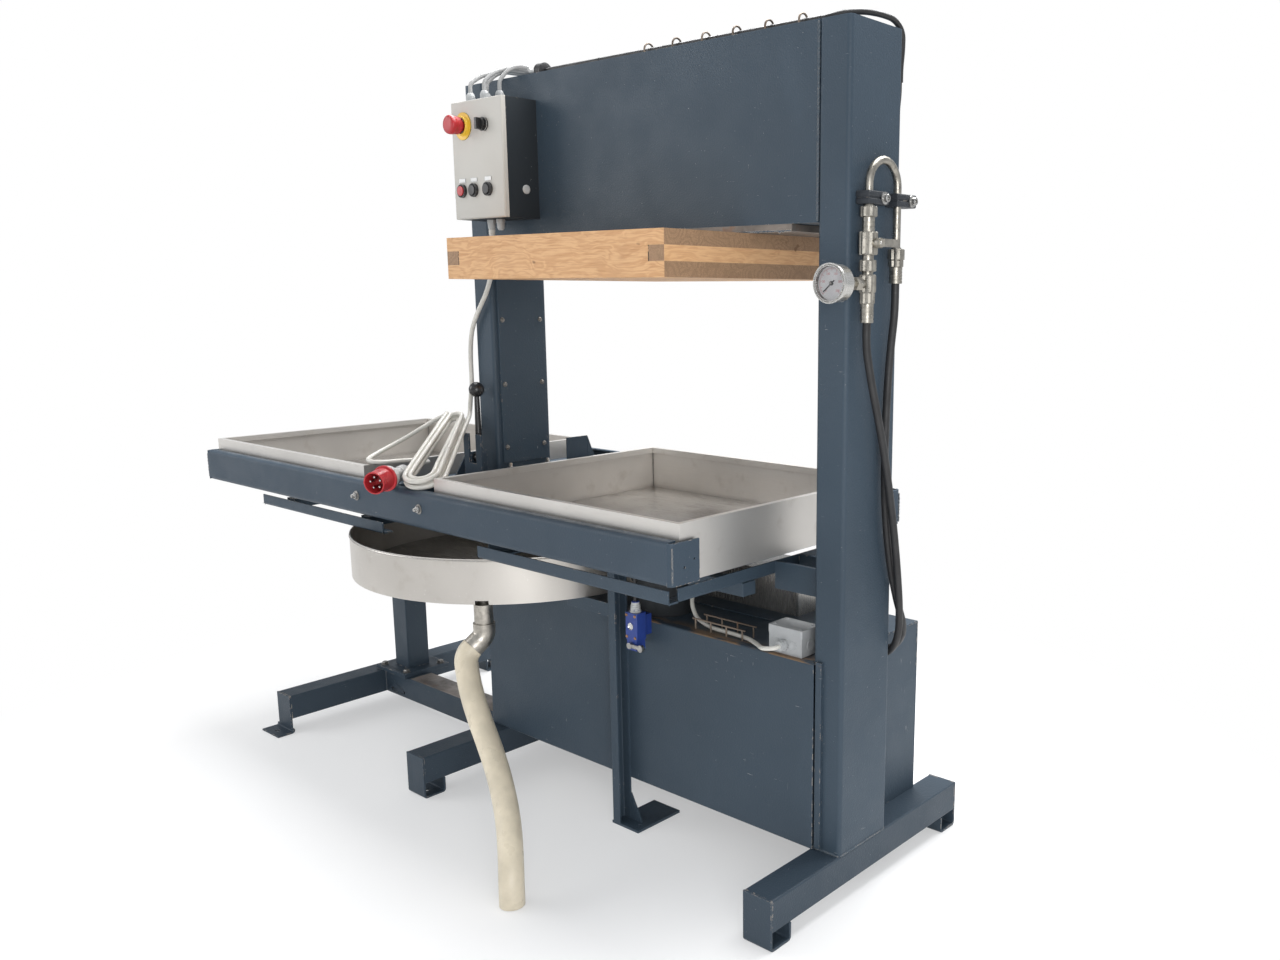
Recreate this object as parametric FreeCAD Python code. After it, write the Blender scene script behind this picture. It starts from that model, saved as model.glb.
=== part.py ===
# Rack and cloth cider press: a portal frame, a lifting ram under the right tray, a fixed
# wooden counter block, and a two-tray table that swivels about the left column.
# Millimetres, Z up. The origin is on the floor, at the middle of the whole press.
import FreeCAD, Part
import math
import os

V = FreeCAD.Vector

# Driving dimensions of the frame
overall_height = 1690.0
column_width = 70.0
column_depth = 165.0
column_wall = 6.0
column_corner = 9.0
column_spacing = 1055.0
foot_section = 67.0
foot_width = 70.0
foot_wall = 4.0
foot_clearance = 38.0
right_foot_front = 295.0
left_foot_front = 342.0
left_foot_offset = 648.0
beam_height = 350.0
beam_depth = column_depth
beam_wall = 8.0
plate_5 = 5.0

# Driving dimensions of the press space
counter_plate_thickness = 14.0
block_length = 655.0
block_depth = 620.0
block_layer = 28.6
block_centre = 525.0
ram_stroke = 350.0

# Driving dimensions of the swivel table
table_length = 1840.0
table_depth = 744.0
rail_bottom = 690.0
rail_height = 84.0
rail_sheet = 4.0
tray_length = 765.0
tray_depth = 680.0
tray_height = 110.0
tray_sheet = 2.5
tray_rim = 12.0
tray_floor = 693.0
tray_inner_end = 145.0
running_clearance = 0.08
seat_gap = 0.3

# Driving dimensions of the juice pan
pan_radius = 411.0
pan_bottom = 527.0
pan_height = 104.0
pan_sheet = 2.5

# Driving dimensions of the hydraulics
pipe_radius = 7.5
hose_radius = 7.5
pipe_offset = 20.0
hydraulics_reach = 60.0

# Driving dimensions of the electrics
box_width = 184.0
box_height = 256.0
box_depth = 95.5
box_left = 45.0
box_drop = 314.0
box_sheet = 1.5
door_thickness = 12.0
cable_radius = 4.5
cord_radius = 5.5

# Places worked out from the driving dimensions
right_reach = column_spacing + column_width / 2 + hydraulics_reach
swivel_x = (table_length / 2 - right_reach) / 2
column_x = swivel_x + column_spacing
foot_top = foot_clearance + foot_section
column_front = -column_depth / 2
box_bottom = overall_height - box_drop
beam_bottom = overall_height - beam_height
plate_bottom = beam_bottom - counter_plate_thickness
block_height = 3 * block_layer
block_bottom = plate_bottom - block_height
rail_top = rail_bottom + rail_height
press_x = swivel_x + block_centre
table_front = -table_depth / 2
foot_rear = table_depth / 2
pan_top = pan_bottom + pan_height


def box(x0, x1, y0, y1, z0, z1):
    """A block between two corners."""
    return Part.makeBox(x1 - x0, y1 - y0, z1 - z0, V(x0, y0, z0))


def cylinder(radius, start, axis, length):
    """A round bar from its start point along an axis."""
    return Part.makeCylinder(radius, length, V(*start), V(*axis))


def ring(outer, inner, start, axis, length):
    """A round tube from its start point along an axis."""
    return cylinder(outer, start, axis, length).cut(cylinder(inner, start, axis, length))


def rounded_outline(width, depth, radius):
    """A rectangle with round corners, about the origin, as a wire."""
    w = width / 2
    d = depth / 2
    r = radius
    k = r * (1 - math.sqrt(0.5))
    corners = [(w, d, 1, 1), (-w, d, -1, 1), (-w, -d, -1, -1), (w, -d, 1, -1)]
    edges = []
    ends = []
    for cx, cy, sx, sy in corners:
        side = V(cx, cy - sy * r, 0)
        top = V(cx - sx * r, cy, 0)
        first, last = (side, top) if sx * sy > 0 else (top, side)
        edges.append(Part.Arc(first, V(cx - sx * k, cy - sy * k, 0), last).toShape())
        ends.append((first, last))
    for i in range(4):
        edges.append(Part.LineSegment(ends[i][1], ends[(i + 1) % 4][0]).toShape())
    return Part.Wire(Part.__sortEdges__(edges))


def rect_tube(width, depth, wall, radius, length):
    """A square-section tube with round corners, standing on the origin."""
    outer = Part.Face(rounded_outline(width, depth, radius)).extrude(V(0, 0, length))
    inner_radius = max(radius - wall, 1.0)
    hole = rounded_outline(width - 2 * wall, depth - 2 * wall, inner_radius)
    return outer.cut(Part.Face(hole).extrude(V(0, 0, length)))


def bent_sheet(points, thickness, bend, length, place):
    """A sheet bent along 2D points (u, v), extruded along its third direction.

    place turns (u, v, w) into a point of the press, and w runs from 0 to length."""
    half = thickness / 2
    pts = [V(u, v, 0) for u, v in points]
    dirs = [(b - a).normalize() for a, b in zip(pts, pts[1:])]
    sides = {1: [], -1: []}
    for side in (1, -1):
        normal = [V(-d.y, d.x, 0) * side * half for d in dirs]
        cursor = pts[0] + normal[0]
        for i in range(1, len(pts) - 1):
            turn = dirs[i - 1].x * dirs[i].y - dirs[i - 1].y * dirs[i].x
            angle = math.atan2(turn, dirs[i - 1].dot(dirs[i]))
            sign = 1 if angle > 0 else -1
            centre_radius = bend + half
            reach = centre_radius * math.tan(abs(angle) / 2)
            a = pts[i] - dirs[i - 1] * reach + normal[i - 1]
            b = pts[i] + dirs[i] * reach + normal[i]
            left = V(-dirs[i - 1].y, dirs[i - 1].x, 0)
            centre = pts[i] - dirs[i - 1] * reach + left * sign * centre_radius
            middle = (a + b) * 0.5 - centre
            middle = centre + middle.normalize() * (a - centre).Length
            if (a - cursor).Length > 1e-6:
                sides[side].append(("line", cursor, a))
            sides[side].append(("arc", a, middle, b))
            cursor = b
        sides[side].append(("line", cursor, pts[-1] + normal[-1]))
    loop = list(sides[1])
    loop.append(("line", sides[1][-1][-1], sides[-1][-1][-1]))
    loop += [(kind,) + tuple(reversed(rest)) for kind, *rest in reversed(sides[-1])]
    loop.append(("line", sides[-1][0][1], sides[1][0][1]))

    def at(p, w):
        return V(*place(p.x, p.y, w))

    edges = []
    for kind, *p in loop:
        q = [at(point, 0) for point in p]
        maker = Part.LineSegment if kind == "line" else Part.Arc
        edges.append(maker(*q).toShape())
    start = at(V(0, 0, 0), 0)
    end = at(V(0, 0, 0), length)
    return Part.Face(Part.Wire(edges)).extrude(end - start)


def round_path(points, radius_share=0.45):
    """Straight runs joined by tangent arcs, each as large as its two runs allow."""
    pts = [V(*p) for p in points]
    edges = []
    radii = []
    cursor = pts[0]
    for a, p, b in zip(pts, pts[1:], pts[2:]):
        before = (p - a).normalize()
        after = (b - p).normalize()
        turn = before.getAngle(after)
        shorter = min((p - a).Length, (b - p).Length)
        reach = radius_share * shorter
        radius = reach / math.tan(turn / 2)
        start = p - before * reach
        end = p + after * reach
        inward = (after - before).normalize()
        centre = p + inward * (radius / math.cos(turn / 2))
        middle = centre - inward * radius
        edges.append(Part.LineSegment(cursor, start).toShape())
        edges.append(Part.Arc(start, middle, end).toShape())
        radii.append(radius)
        cursor = end
    edges.append(Part.LineSegment(cursor, pts[-1]).toShape())
    return Part.Wire(edges), radii


def tube(points, radius, name, bore=0.0):
    """A round cord, hose or pipe along a route of straight runs and tangent arcs."""
    path, radii = round_path(points)
    first = V(*points[0])
    heading = V(*points[1]) - first
    profile = Part.Wire(Part.makeCircle(radius, first, heading))
    solid = path.makePipe(Part.Face(profile))
    area = math.pi * radius ** 2
    if bore:
        hole = Part.Face(Part.Wire(Part.makeCircle(bore, first, heading)))
        solid = solid.cut(path.makePipe(hole))
        area -= math.pi * bore ** 2
    ratio = solid.Volume / (area * path.Length)
    print(f"{name}: length {path.Length:.0f}, volume ratio {ratio:.4f}, radii "
          + " ".join(f"{r:.0f}" for r in radii))
    return solid


def hexagon(across_flats, start, axis, length):
    """A hexagon bar from its start point along an axis."""
    direction = V(*axis)
    side = direction.cross(V(0, 0, 1))
    if side.Length < 0.1:
        side = V(1, 0, 0)
    side.normalize()
    up = direction.cross(side).normalize()
    corner = across_flats / math.sqrt(3)
    centre = V(*start)
    pts = []
    for i in range(7):
        angle = math.radians(60 * i)
        pts.append(centre + side * (corner * math.cos(angle)) + up * (corner * math.sin(angle)))
    return Part.Face(Part.makePolygon(pts)).extrude(direction * length)


def save(name, *solids):
    """Write the node's solids as one STEP file."""
    shape = solids[0] if len(solids) == 1 else Part.makeCompound(list(solids))
    shape.exportStep(f"parts/{name}.step")


# Frame: columns, beams and feet

def tube_column(x, y0=0.0):
    """One column, a folded box with a welded cap."""
    height = overall_height - foot_top
    body = rect_tube(column_width, column_depth, column_wall, column_corner, height)
    cap_outline = rounded_outline(column_width, column_depth, column_corner)
    cap = Part.Face(cap_outline).extrude(V(0, 0, plate_5))
    cap.translate(V(0, 0, height - plate_5))
    solid = body.fuse(cap).removeSplitter()
    solid.translate(V(x, y0, foot_top))
    return solid


cover_half = 68.0
cover_bottom = 795.0
cover_top = plate_bottom - 6.0
cover_window = 12.0


def make_left_column():
    """The left column has a hand hole in its inner side, closed by the bolted cover."""
    face = swivel_x + column_width / 2
    half = cover_half - 2 * cover_window
    window = box(face - column_wall - 1, face + 1, -half, half,
                 cover_bottom + 40, cover_top - 40)
    return tube_column(swivel_x).cut(window)


cover_screw_rows = 4
cover_screw_pitch = 156.0
cover_screw_inset = 11.0


def cover_screw_places():
    places = []
    for row in range(cover_screw_rows):
        z = cover_bottom + 39.0 + row * cover_screw_pitch
        for side in (-1, 1):
            places.append((side * (cover_half - cover_screw_inset), z))
    return places


def make_column_cover():
    """The bolted sheet on the inner side of the left column."""
    face = swivel_x + column_width / 2
    return box(face, face + plate_5, -cover_half, cover_half, cover_bottom, cover_top)


def make_crossbeam():
    """The deep box beam that takes the pressing force."""
    x0 = swivel_x + column_width / 2
    x1 = column_x - column_width / 2
    y = beam_depth / 2
    outer = box(x0, x1, -y, y, beam_bottom, overall_height)
    inner = box(x0 - 1, x1 + 1, -y + beam_wall, y - beam_wall,
                beam_bottom + beam_wall, overall_height - beam_wall)
    return outer.cut(inner)


plate_overhang_back = 117.5
plate_half_length = 435.0


def make_counter_plate():
    """The thick plate welded under the beam, which spreads the force over the block."""
    return box(press_x - plate_half_length, press_x + plate_half_length,
               -beam_depth / 2, beam_depth / 2 + plate_overhang_back,
               plate_bottom, beam_bottom)


block_boards = 6
block_lip = 40.0
block_bolt_x = 200.0
block_bolt_y = 60.0
block_bolt_radius = 6.0


def block_bolt_places():
    places = []
    for sx in (-1, 1):
        for sy in (-1, 1):
            places.append((press_x + sx * block_bolt_x, sy * block_bolt_y))
    return places


def make_block_outer():
    """The top and bottom layers of the counter block: boards that run along X."""
    solids = []
    width = block_depth / block_boards
    for layer in (0, 2):
        z = block_bottom + layer * block_layer
        for i in range(block_boards):
            y = -block_depth / 2 + i * width
            board = box(press_x - block_length / 2, press_x + block_length / 2,
                        y, y + width, z, z + block_layer)
            for bx, by in block_bolt_places():
                if y < by < y + width:
                    hole = cylinder(block_bolt_radius, (bx, by, z), (0, 0, 1), block_layer)
                    board = board.cut(hole)
                    if layer == 0:
                        head = cylinder(2.2 * block_bolt_radius, (bx, by, z), (0, 0, 1), 14)
                        board = board.cut(head)
            solids.append(board)
    return solids


def make_block_middle():
    """The middle layer: boards along Y, with a lipping strip along the front and back."""
    solids = []
    z = block_bottom + block_layer
    x0 = press_x - block_length / 2
    x1 = press_x + block_length / 2
    y0 = -block_depth / 2
    y1 = block_depth / 2
    solids.append(box(x0 + block_lip, x1 - block_lip, y0, y0 + block_lip, z, z + block_layer))
    solids.append(box(x0 + block_lip, x1 - block_lip, y1 - block_lip, y1, z, z + block_layer))
    solids.append(box(x0, x0 + block_lip, y0, y1, z, z + block_layer))
    solids.append(box(x1 - block_lip, x1, y0, y1, z, z + block_layer))
    inner = x1 - x0 - 2 * block_lip
    width = inner / block_boards
    for i in range(block_boards):
        bx = x0 + block_lip + i * width
        board = box(bx, bx + width, y0 + block_lip, y1 - block_lip, z, z + block_layer)
        for hx, hy in block_bolt_places():
            if bx < hx < bx + width:
                board = board.cut(cylinder(block_bolt_radius, (hx, hy, z), (0, 0, 1), block_layer))
        solids.append(board)
    return solids


def foot_beam(x, front):
    """One square tube that lies front to back."""
    beam = rect_tube(foot_width, foot_section, foot_wall, foot_wall, foot_rear + front - 2 * plate_5)
    beam.rotate(V(0, 0, 0), V(1, 0, 0), -90)
    beam.translate(V(x, -front + plate_5, foot_clearance + foot_section / 2))
    return beam


base_beam_front = 45.0
left_foot_x = swivel_x - left_foot_offset


def make_foot_beams():
    """Three foot beams and the base beam that ties the left one to the middle one."""
    solids = [foot_beam(column_x, right_foot_front), foot_beam(swivel_x, left_foot_front),
              foot_beam(left_foot_x, left_foot_front)]
    x0 = left_foot_x + foot_width / 2
    x1 = swivel_x - foot_width / 2
    tie = rect_tube(foot_width, foot_section, foot_wall, foot_wall, x1 - x0)
    tie.rotate(V(0, 0, 0), V(0, 0, 1), 90)
    tie.rotate(V(0, 0, 0), V(0, 1, 0), 90)
    bounds = tie.BoundBox
    tie.translate(V(x0 - bounds.XMin, -base_beam_front - bounds.YMin, foot_clearance - bounds.ZMin))
    for hx in (30.0, 92.0):
        tie = tie.cut(cylinder(4.5, (x0 + hx, -base_beam_front - 1, foot_clearance + 15.0),
                               (0, 1, 0), foot_wall + 2))
    solids.append(tie)
    return solids


bracket_reach = 58.0
foot_hole_radius = 6.0


def foot_bracket(x, front, facing):
    """A strip bent into a U: it covers the beam's end, lies on the floor and turns up."""
    half = plate_5 / 2
    points = [(half, foot_top), (half, half), (bracket_reach, half), (bracket_reach, foot_clearance)]

    def place(u, v, w):
        return (x - foot_width / 2 + w, facing * (front - u), v)

    strip = bent_sheet(points, plate_5, 3.0, foot_width, place)
    hole = cylinder(foot_hole_radius, (x, facing * (front - bracket_reach / 2), -1), (0, 0, 1),
                    plate_5 + 2)
    return strip.cut(hole)


def tab_bracket(x, front):
    """The left foot's front bracket: its floor plate reaches forward, past the beam."""
    half = plate_5 / 2
    points = [(half, foot_top), (half, half), (-45.0, half)]

    def place(u, v, w):
        return (x - foot_width / 2 - 10 + w, -front + u, v)

    strip = bent_sheet(points, plate_5, 3.0, foot_width + 20, place)
    notch = box(x - foot_width, x - foot_width / 2, -front - 1, -front + plate_5 + 1, 12, foot_top + 1)
    other = box(x + foot_width / 2, x + foot_width, -front - 1, -front + plate_5 + 1, 12, foot_top + 1)
    hole = cylinder(foot_hole_radius, (x, -front - 24.0, -1), (0, 0, 1), plate_5 + 2)
    return strip.cut(notch).cut(other).cut(hole)


def make_foot_brackets():
    """The bent feet that the press stands on."""
    return [foot_bracket(column_x, right_foot_front, -1), foot_bracket(column_x, foot_rear, 1),
            foot_bracket(swivel_x, left_foot_front, -1), foot_bracket(swivel_x, foot_rear, 1),
            tab_bracket(left_foot_x, left_foot_front), foot_bracket(left_foot_x, foot_rear, 1)]


post_width = 70.0
post_plate = 150.0
post_plate_thickness = 12.0
post_offset = 78.0
left_post_x = swivel_x - left_foot_offset + post_offset
left_post_y = 20.0
post_bolt_inset = 18.0


def make_left_post():
    """The post on the base beam and its foot plate. It carries the free half of the pan."""
    plate = box(left_post_x - post_plate / 2, left_post_x + post_plate / 2,
                left_post_y - post_plate / 2, left_post_y + post_plate / 2,
                foot_top, foot_top + post_plate_thickness)
    for bx, by in post_bolt_places():
        plate = plate.cut(cylinder(5.0, (bx, by, foot_top - 1), (0, 0, 1), post_plate_thickness + 2))
    height = rest_bottom - foot_top - post_plate_thickness
    body = rect_tube(post_width, post_width, foot_wall, foot_wall, height)
    body.translate(V(left_post_x, left_post_y, foot_top + post_plate_thickness))
    return [plate, body]


def post_bolt_places():
    reach = post_plate / 2 - post_bolt_inset
    return [(left_post_x + sx * reach, left_post_y + sy * reach)
            for sx in (-1, 1) for sy in (-1, 1)]


arm_height = 30.0
left_arm_bottom = pan_bottom - arm_height


def make_pan_arms():
    """Flat arms that carry the juice pan from the left post and from the front post."""
    left = box(left_post_x + post_width / 2, swivel_x - 0.6 * pan_radius, left_post_y - 20, left_post_y + 20,
               left_arm_bottom, pan_bottom)
    right = box(swivel_x + 0.8 * pan_radius, support_x, support_front + 6, support_front + 12,
                left_arm_bottom, pan_bottom)
    return [left, right]


left_rest_overhang = 96.0
left_rest_x0 = left_post_x - left_rest_overhang
left_rest_x1 = swivel_x - column_width / 2 - 43.0
cross_width = 40.0


def make_left_rest():
    """The rest frame under the left tray: two angle bars and two cross bars on the left post."""
    y = rest_half_depth
    long = left_rest_x1 - left_rest_x0
    front = angle_bar((left_rest_x0, -y), (1, 0), long, (0, 1))
    rear = angle_bar((left_rest_x0, y), (1, 0), long, (0, -1))
    solids = [front, rear]
    for x in (left_post_x, swivel_x - 200.0):
        solids.append(box(x - cross_width / 2, x + cross_width / 2, -y + angle_leg, y - angle_leg,
                          rest_bottom, rest_bottom + 24.0))
    return solids


support_width = 28.0
support_depth = 38.0
support_x = press_x - 52.0
panel_front = column_front - 9.5
support_front = panel_front - support_depth


def make_support_post():
    """The slim channel in front of the casing, on its own foot plate with a web."""
    half = 2.0

    def place(u, v, w):
        return (support_x + u, support_front + v, 6.0 + w)

    points = [(support_width - half, half), (half, half), (half, support_depth - half),
              (support_width - half, support_depth - half)]
    channel = bent_sheet(points, 4.0, 2.0, rest_bottom - 6.0 - 28.0, place)
    plate = box(support_x, support_x + 86, support_front, support_front + 135, 0, 6)
    plate = plate.cut(cylinder(5.0, (support_x + 68, support_front + 22, -1), (0, 0, 1), 8))
    web = Part.Face(Part.makePolygon([
        V(support_x + support_width, support_front + support_depth - 4, 6),
        V(support_x + support_width + 34, support_front + support_depth - 4, 6),
        V(support_x + support_width, support_front + support_depth - 4, 70),
        V(support_x + support_width, support_front + support_depth - 4, 6)])).extrude(V(0, 4, 0))
    return channel.fuse(plate).fuse(web)


rest_left = block_centre - 228.0
rest_right = block_centre + 354.0
rest_half_depth = 341.0
angle_leg = 28.0
angle_sheet = 4.0
rest_bottom = 644.0
rest_top = rest_bottom + angle_leg


def angle_bar(start, along, length, inward):
    """A rolled angle: one leg upright, one leg flat along the bottom towards the inside."""
    half = angle_sheet / 2
    points = [(half, angle_leg), (half, half), (angle_leg, half)]

    def place(u, v, w):
        return (start[0] + along[0] * w + inward[0] * u,
                start[1] + along[1] * w + inward[1] * u, rest_bottom + v)

    return bent_sheet(points, angle_sheet, 2.0, length, place)


def make_rest_frame():
    """The fixed frame of angle bars round the ram, its cross bar and its two brackets."""
    x0 = swivel_x + rest_left
    x1 = swivel_x + rest_right
    y = rest_half_depth
    long = x1 - x0
    side = 2 * y - 2 * angle_leg
    front = angle_bar((x0, -y), (1, 0), long, (0, 1))
    rear = angle_bar((x0, y), (1, 0), long, (0, -1))
    left = angle_bar((x0, -y + angle_leg), (0, 1), side, (1, 0))
    right = angle_bar((x1, -y + angle_leg), (0, 1), side, (-1, 0))
    cross = box(support_x - 50, x1, support_front, panel_front, rest_bottom - angle_leg, rest_bottom)
    solids = [front, rear, left, right, cross]
    column_side = column_x - column_width / 2
    for y0 in (-30.0, 50.0):
        solids.append(box(x1, column_side, y0, y0 + 8.0, rest_bottom - 30, rest_top))
    return solids


panel_bottom = foot_top
panel_top = 499.0
panel_sheet = 2.5
panel_left = swivel_x - 24.0
panel_right = column_x - column_width / 2 + 8.0


casing_rear = 288.0


def make_casing():
    """Front sheet with folded lips, rear sheet, and the two end sheets behind the columns."""
    depth = column_front - panel_front
    edge = panel_sheet / 2
    lip = depth + 12.0

    def place(u, v, w):
        return (panel_left + w, panel_front + u, v)

    points = [(lip, panel_bottom + edge), (edge, panel_bottom + edge),
              (edge, panel_top - edge), (lip, panel_top - edge)]
    front = bent_sheet(points, panel_sheet, 2.0, panel_right - panel_left, place)
    for x in (swivel_x, column_x):
        front = front.cut(box(x - column_width / 2, x + column_width / 2, column_front,
                              column_front + 60, panel_bottom - 1, panel_top + 1))
    inner_top = panel_top - panel_sheet
    rear = box(panel_left, panel_right, casing_rear - panel_sheet, casing_rear, panel_bottom, inner_top)
    left = box(panel_left, panel_left + panel_sheet, -column_front, casing_rear - panel_sheet,
               panel_bottom, inner_top)
    right = box(panel_right - panel_sheet, panel_right, -column_front, casing_rear - panel_sheet,
                panel_bottom, inner_top)
    strip = box(column_x - 24.0, column_x - 10.0, panel_front + panel_sheet, column_front,
                panel_bottom + 6, panel_top + 4)
    return [front.fuse(strip), rear, left, right]


deck_sheet = 3.0
barrel_radius = 65.0


def make_deck():
    """The cover plate over the casing, with the holes for the cylinder and the motor cover."""
    inner_left = swivel_x + column_width / 2
    inner_right = column_x - column_width / 2
    z0 = panel_top - panel_sheet - deck_sheet
    z1 = panel_top - panel_sheet
    plate = box(inner_left, inner_right, column_front - 4.5, -column_front, z0, z1)
    rear = box(panel_left, panel_right, -column_front, casing_rear, z1, z1 + deck_sheet)
    plate = plate.cut(cylinder(barrel_radius + 3, (press_x, 0, 0), (0, 0, 1), overall_height))
    rear = rear.cut(box(cover_x0 + 8, cover_x1 - 8, cover_y0 + 8, cover_y1 - 8, z0, panel_top + 9))
    return [plate, rear]


seat_plate = 25.0
girder_half = 68.0
girder_sheet = 12.0
girder_height = 190.0


def make_lower_beam():
    """Two girders between the columns and the seat plate that the cylinder stands on."""
    x0 = swivel_x + column_width / 2
    x1 = column_x - column_width / 2
    solids = []
    for y0 in (-girder_half - girder_sheet, girder_half):
        solids.append(box(x0, x1, y0, y0 + girder_sheet, foot_top + 5, foot_top + 5 + girder_height))
    solids.append(box(press_x - 110, press_x + 110, -girder_half, girder_half,
                      foot_top + 5, foot_top + 5 + seat_plate))
    return solids


barrel_wall = 10.0
barrel_bottom = foot_top + 5 + seat_plate
barrel_top = 600.0
gland_height = 30.0
rod_radius = 45.0
piston_height = 40.0
piston_rest = 25.0


def make_barrel():
    """The cylinder: a bored barrel with a closed foot and a gland round the rod."""
    outer = cylinder(barrel_radius, (press_x, 0, barrel_bottom), (0, 0, 1), barrel_top - barrel_bottom)
    collar = cylinder(barrel_radius + 10, (press_x, 0, barrel_top - gland_height), (0, 0, 1), gland_height)
    bore = cylinder(barrel_radius - barrel_wall, (press_x, 0, barrel_bottom + piston_rest - 5),
                    (0, 0, 1), barrel_top - gland_height - barrel_bottom - piston_rest + 5)
    way = cylinder(rod_radius + running_clearance, (press_x, 0, barrel_bottom + 50), (0, 0, 1), 600)
    return outer.fuse(collar).cut(bore).cut(way)


head_size = 380.0
head_thickness = 24.0
head_top = tray_floor - 20.0


def make_ram():
    """The piston, its rod and the square head plate that lifts the tray."""
    base = barrel_bottom + piston_rest
    piston = cylinder(barrel_radius - barrel_wall - running_clearance, (press_x, 0, base), (0, 0, 1),
                      piston_height)
    rod = cylinder(rod_radius, (press_x, 0, base), (0, 0, 1), head_top - head_thickness - base)
    head = box(press_x - head_size / 2, press_x + head_size / 2, -head_size / 2, head_size / 2,
               head_top - head_thickness, head_top)
    return [piston.fuse(rod), head]


cover_x0 = press_x - 45.0
cover_x1 = press_x + 280.0
cover_y0 = 140.0
cover_y1 = 280.0
cover_sheet = 2.0
unit_cover_top = 594.0


def make_power_cover():
    """The stainless cover over the motor, open below, with a flange on the deck."""
    z0 = panel_top - panel_sheet + deck_sheet
    outer = box(cover_x0, cover_x1, cover_y0, cover_y1, z0, unit_cover_top)
    upright = [e for e in outer.Edges if abs(e.Vertexes[0].Z - e.Vertexes[-1].Z) > 50]
    outer = outer.makeFillet(4.0, upright)
    inner = box(cover_x0 + cover_sheet, cover_x1 - cover_sheet, cover_y0 + cover_sheet,
                cover_y1 - cover_sheet, z0 - 1, unit_cover_top - cover_sheet)
    return outer.cut(inner)


tank_height = 190.0
motor_radius = 50.0


def make_power_unit():
    """Tank, motor and pump block of the power unit, behind the cylinder."""
    z0 = panel_bottom + 20.0
    shelf = box(cover_x0 - 20, cover_x1 + 20, -column_front, casing_rear - panel_sheet,
                z0 - 6, z0)
    tank = box(cover_x0 + 15, cover_x1 - 15, cover_y0, cover_y1 - 10, z0, z0 + tank_height)
    motor_x = cover_x0 + 110
    motor_y = (cover_y0 + cover_y1) / 2
    motor = cylinder(motor_radius, (motor_x, motor_y, z0 + tank_height), (0, 0, 1),
                     unit_cover_top - 14 - z0 - tank_height)
    pump = box(motor_x + 80, motor_x + 170, motor_y - 40, motor_y + 40, z0 + tank_height,
               z0 + tank_height + 65)
    return [shelf, tank, motor, pump]


junction_x = column_x - 150.0
junction_y = -52.0
junction_size = (84.0, 56.0, 56.0)


def make_junction_box():
    """The grey junction box on the casing, with its cable gland."""
    w, d, h = junction_size
    z0 = panel_top
    body = box(junction_x, junction_x + w, junction_y - d / 2, junction_y + d / 2, z0, z0 + h * 0.72)
    lid = box(junction_x - 1.5, junction_x + w + 1.5, junction_y - d / 2 - 1.5, junction_y + d / 2 + 1.5,
              z0 + h * 0.72, z0 + h)
    lid = lid.makeFillet(3.0, [e for e in lid.Edges if abs(e.Vertexes[0].Z - e.Vertexes[-1].Z) > 5])
    gland = cylinder(10.0, (junction_x + 40, junction_y - d / 2, z0 + 20), (0, -1, 0), 18)
    gland = gland.fuse(hexagon(22.0, (junction_x + 40, junction_y - d / 2, z0 + 20), (0, -1, 0), 7))
    return [body, lid, gland]


# Juice pan and drain

drain_x = swivel_x + 258.0
drain_y = -305.0
drain_radius = 21.0


def make_juice_pan():
    """The round pan under the table: a rolled wall, a floor and a sleeve round the column."""
    outer = cylinder(pan_radius, (swivel_x, 0, pan_bottom), (0, 0, 1), pan_height)
    inner = cylinder(pan_radius - pan_sheet, (swivel_x, 0, pan_bottom + pan_sheet), (0, 0, 1), pan_height)
    w = column_width / 2 + seat_gap
    d = column_depth / 2 + seat_gap
    sleeve = box(swivel_x - w - pan_sheet, swivel_x + w + pan_sheet, -d - pan_sheet, d + pan_sheet,
                 pan_bottom, pan_bottom + pan_height * 0.8)
    hole = box(swivel_x - w, swivel_x + w, -d, d, pan_bottom - 1, pan_top + 1)
    drain = cylinder(drain_radius - 2, (drain_x, drain_y, pan_bottom - 1), (0, 0, 1), 10)
    return outer.cut(inner).fuse(sleeve).cut(hole).cut(drain)


def make_drain_pipe():
    """The stainless outlet under the pan and the grey elbow that the hose is pushed on."""
    pipe = ring(drain_radius, drain_radius - 2, (drain_x, drain_y, pan_bottom - 44), (0, 0, 1), 44)
    elbow = tube([(drain_x, drain_y, pan_bottom - 44), (drain_x, drain_y, pan_bottom - 74),
                  (drain_x - 10, drain_y - 26, 429)], drain_radius + 3.5, "drain elbow", drain_radius - 1)
    return [pipe, elbow]


hose_outer = 26.0
hose_bore = 22.5
# The free drain hose, from the elbow down to the floor
drain_route = [
    (drain_x - 10.1, drain_y - 26.2, 428.8), (drain_x - 16, drain_y - 41.5, 414.7), (145, -357, 382),
    (175, -369, 342), (215, -381, 300), (262, -393, 258), (308, -407, 218), (348, -423, 182),
    (385, -441, 146), (420, -463, 112), (450, -485, 76), (466, -498, 38), (466, -498, 1)]


def make_drain_hose():
    """The cream hose that leads the juice down to the floor."""
    return tube(drain_route, hose_outer, "drain hose", hose_bore)


# Swivel bearing and table

disc_radius = 128.0
disc_bottom = 640.0
disc_thickness = 15.0
spigot_radius = 100.0
hub_wall = 18.0
hub_top = 745.0
collar_bottom = 760.0
collar_thickness = 14.0
collar_radius = 103.0
lock_radius = 110.0
lock_pin_radius = 5.5


def column_bar(z0, z1, grow=0.0):
    w = column_width / 2 + grow
    d = column_depth / 2 + grow
    return box(swivel_x - w, swivel_x + w, -d, d, z0, z1)


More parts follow.
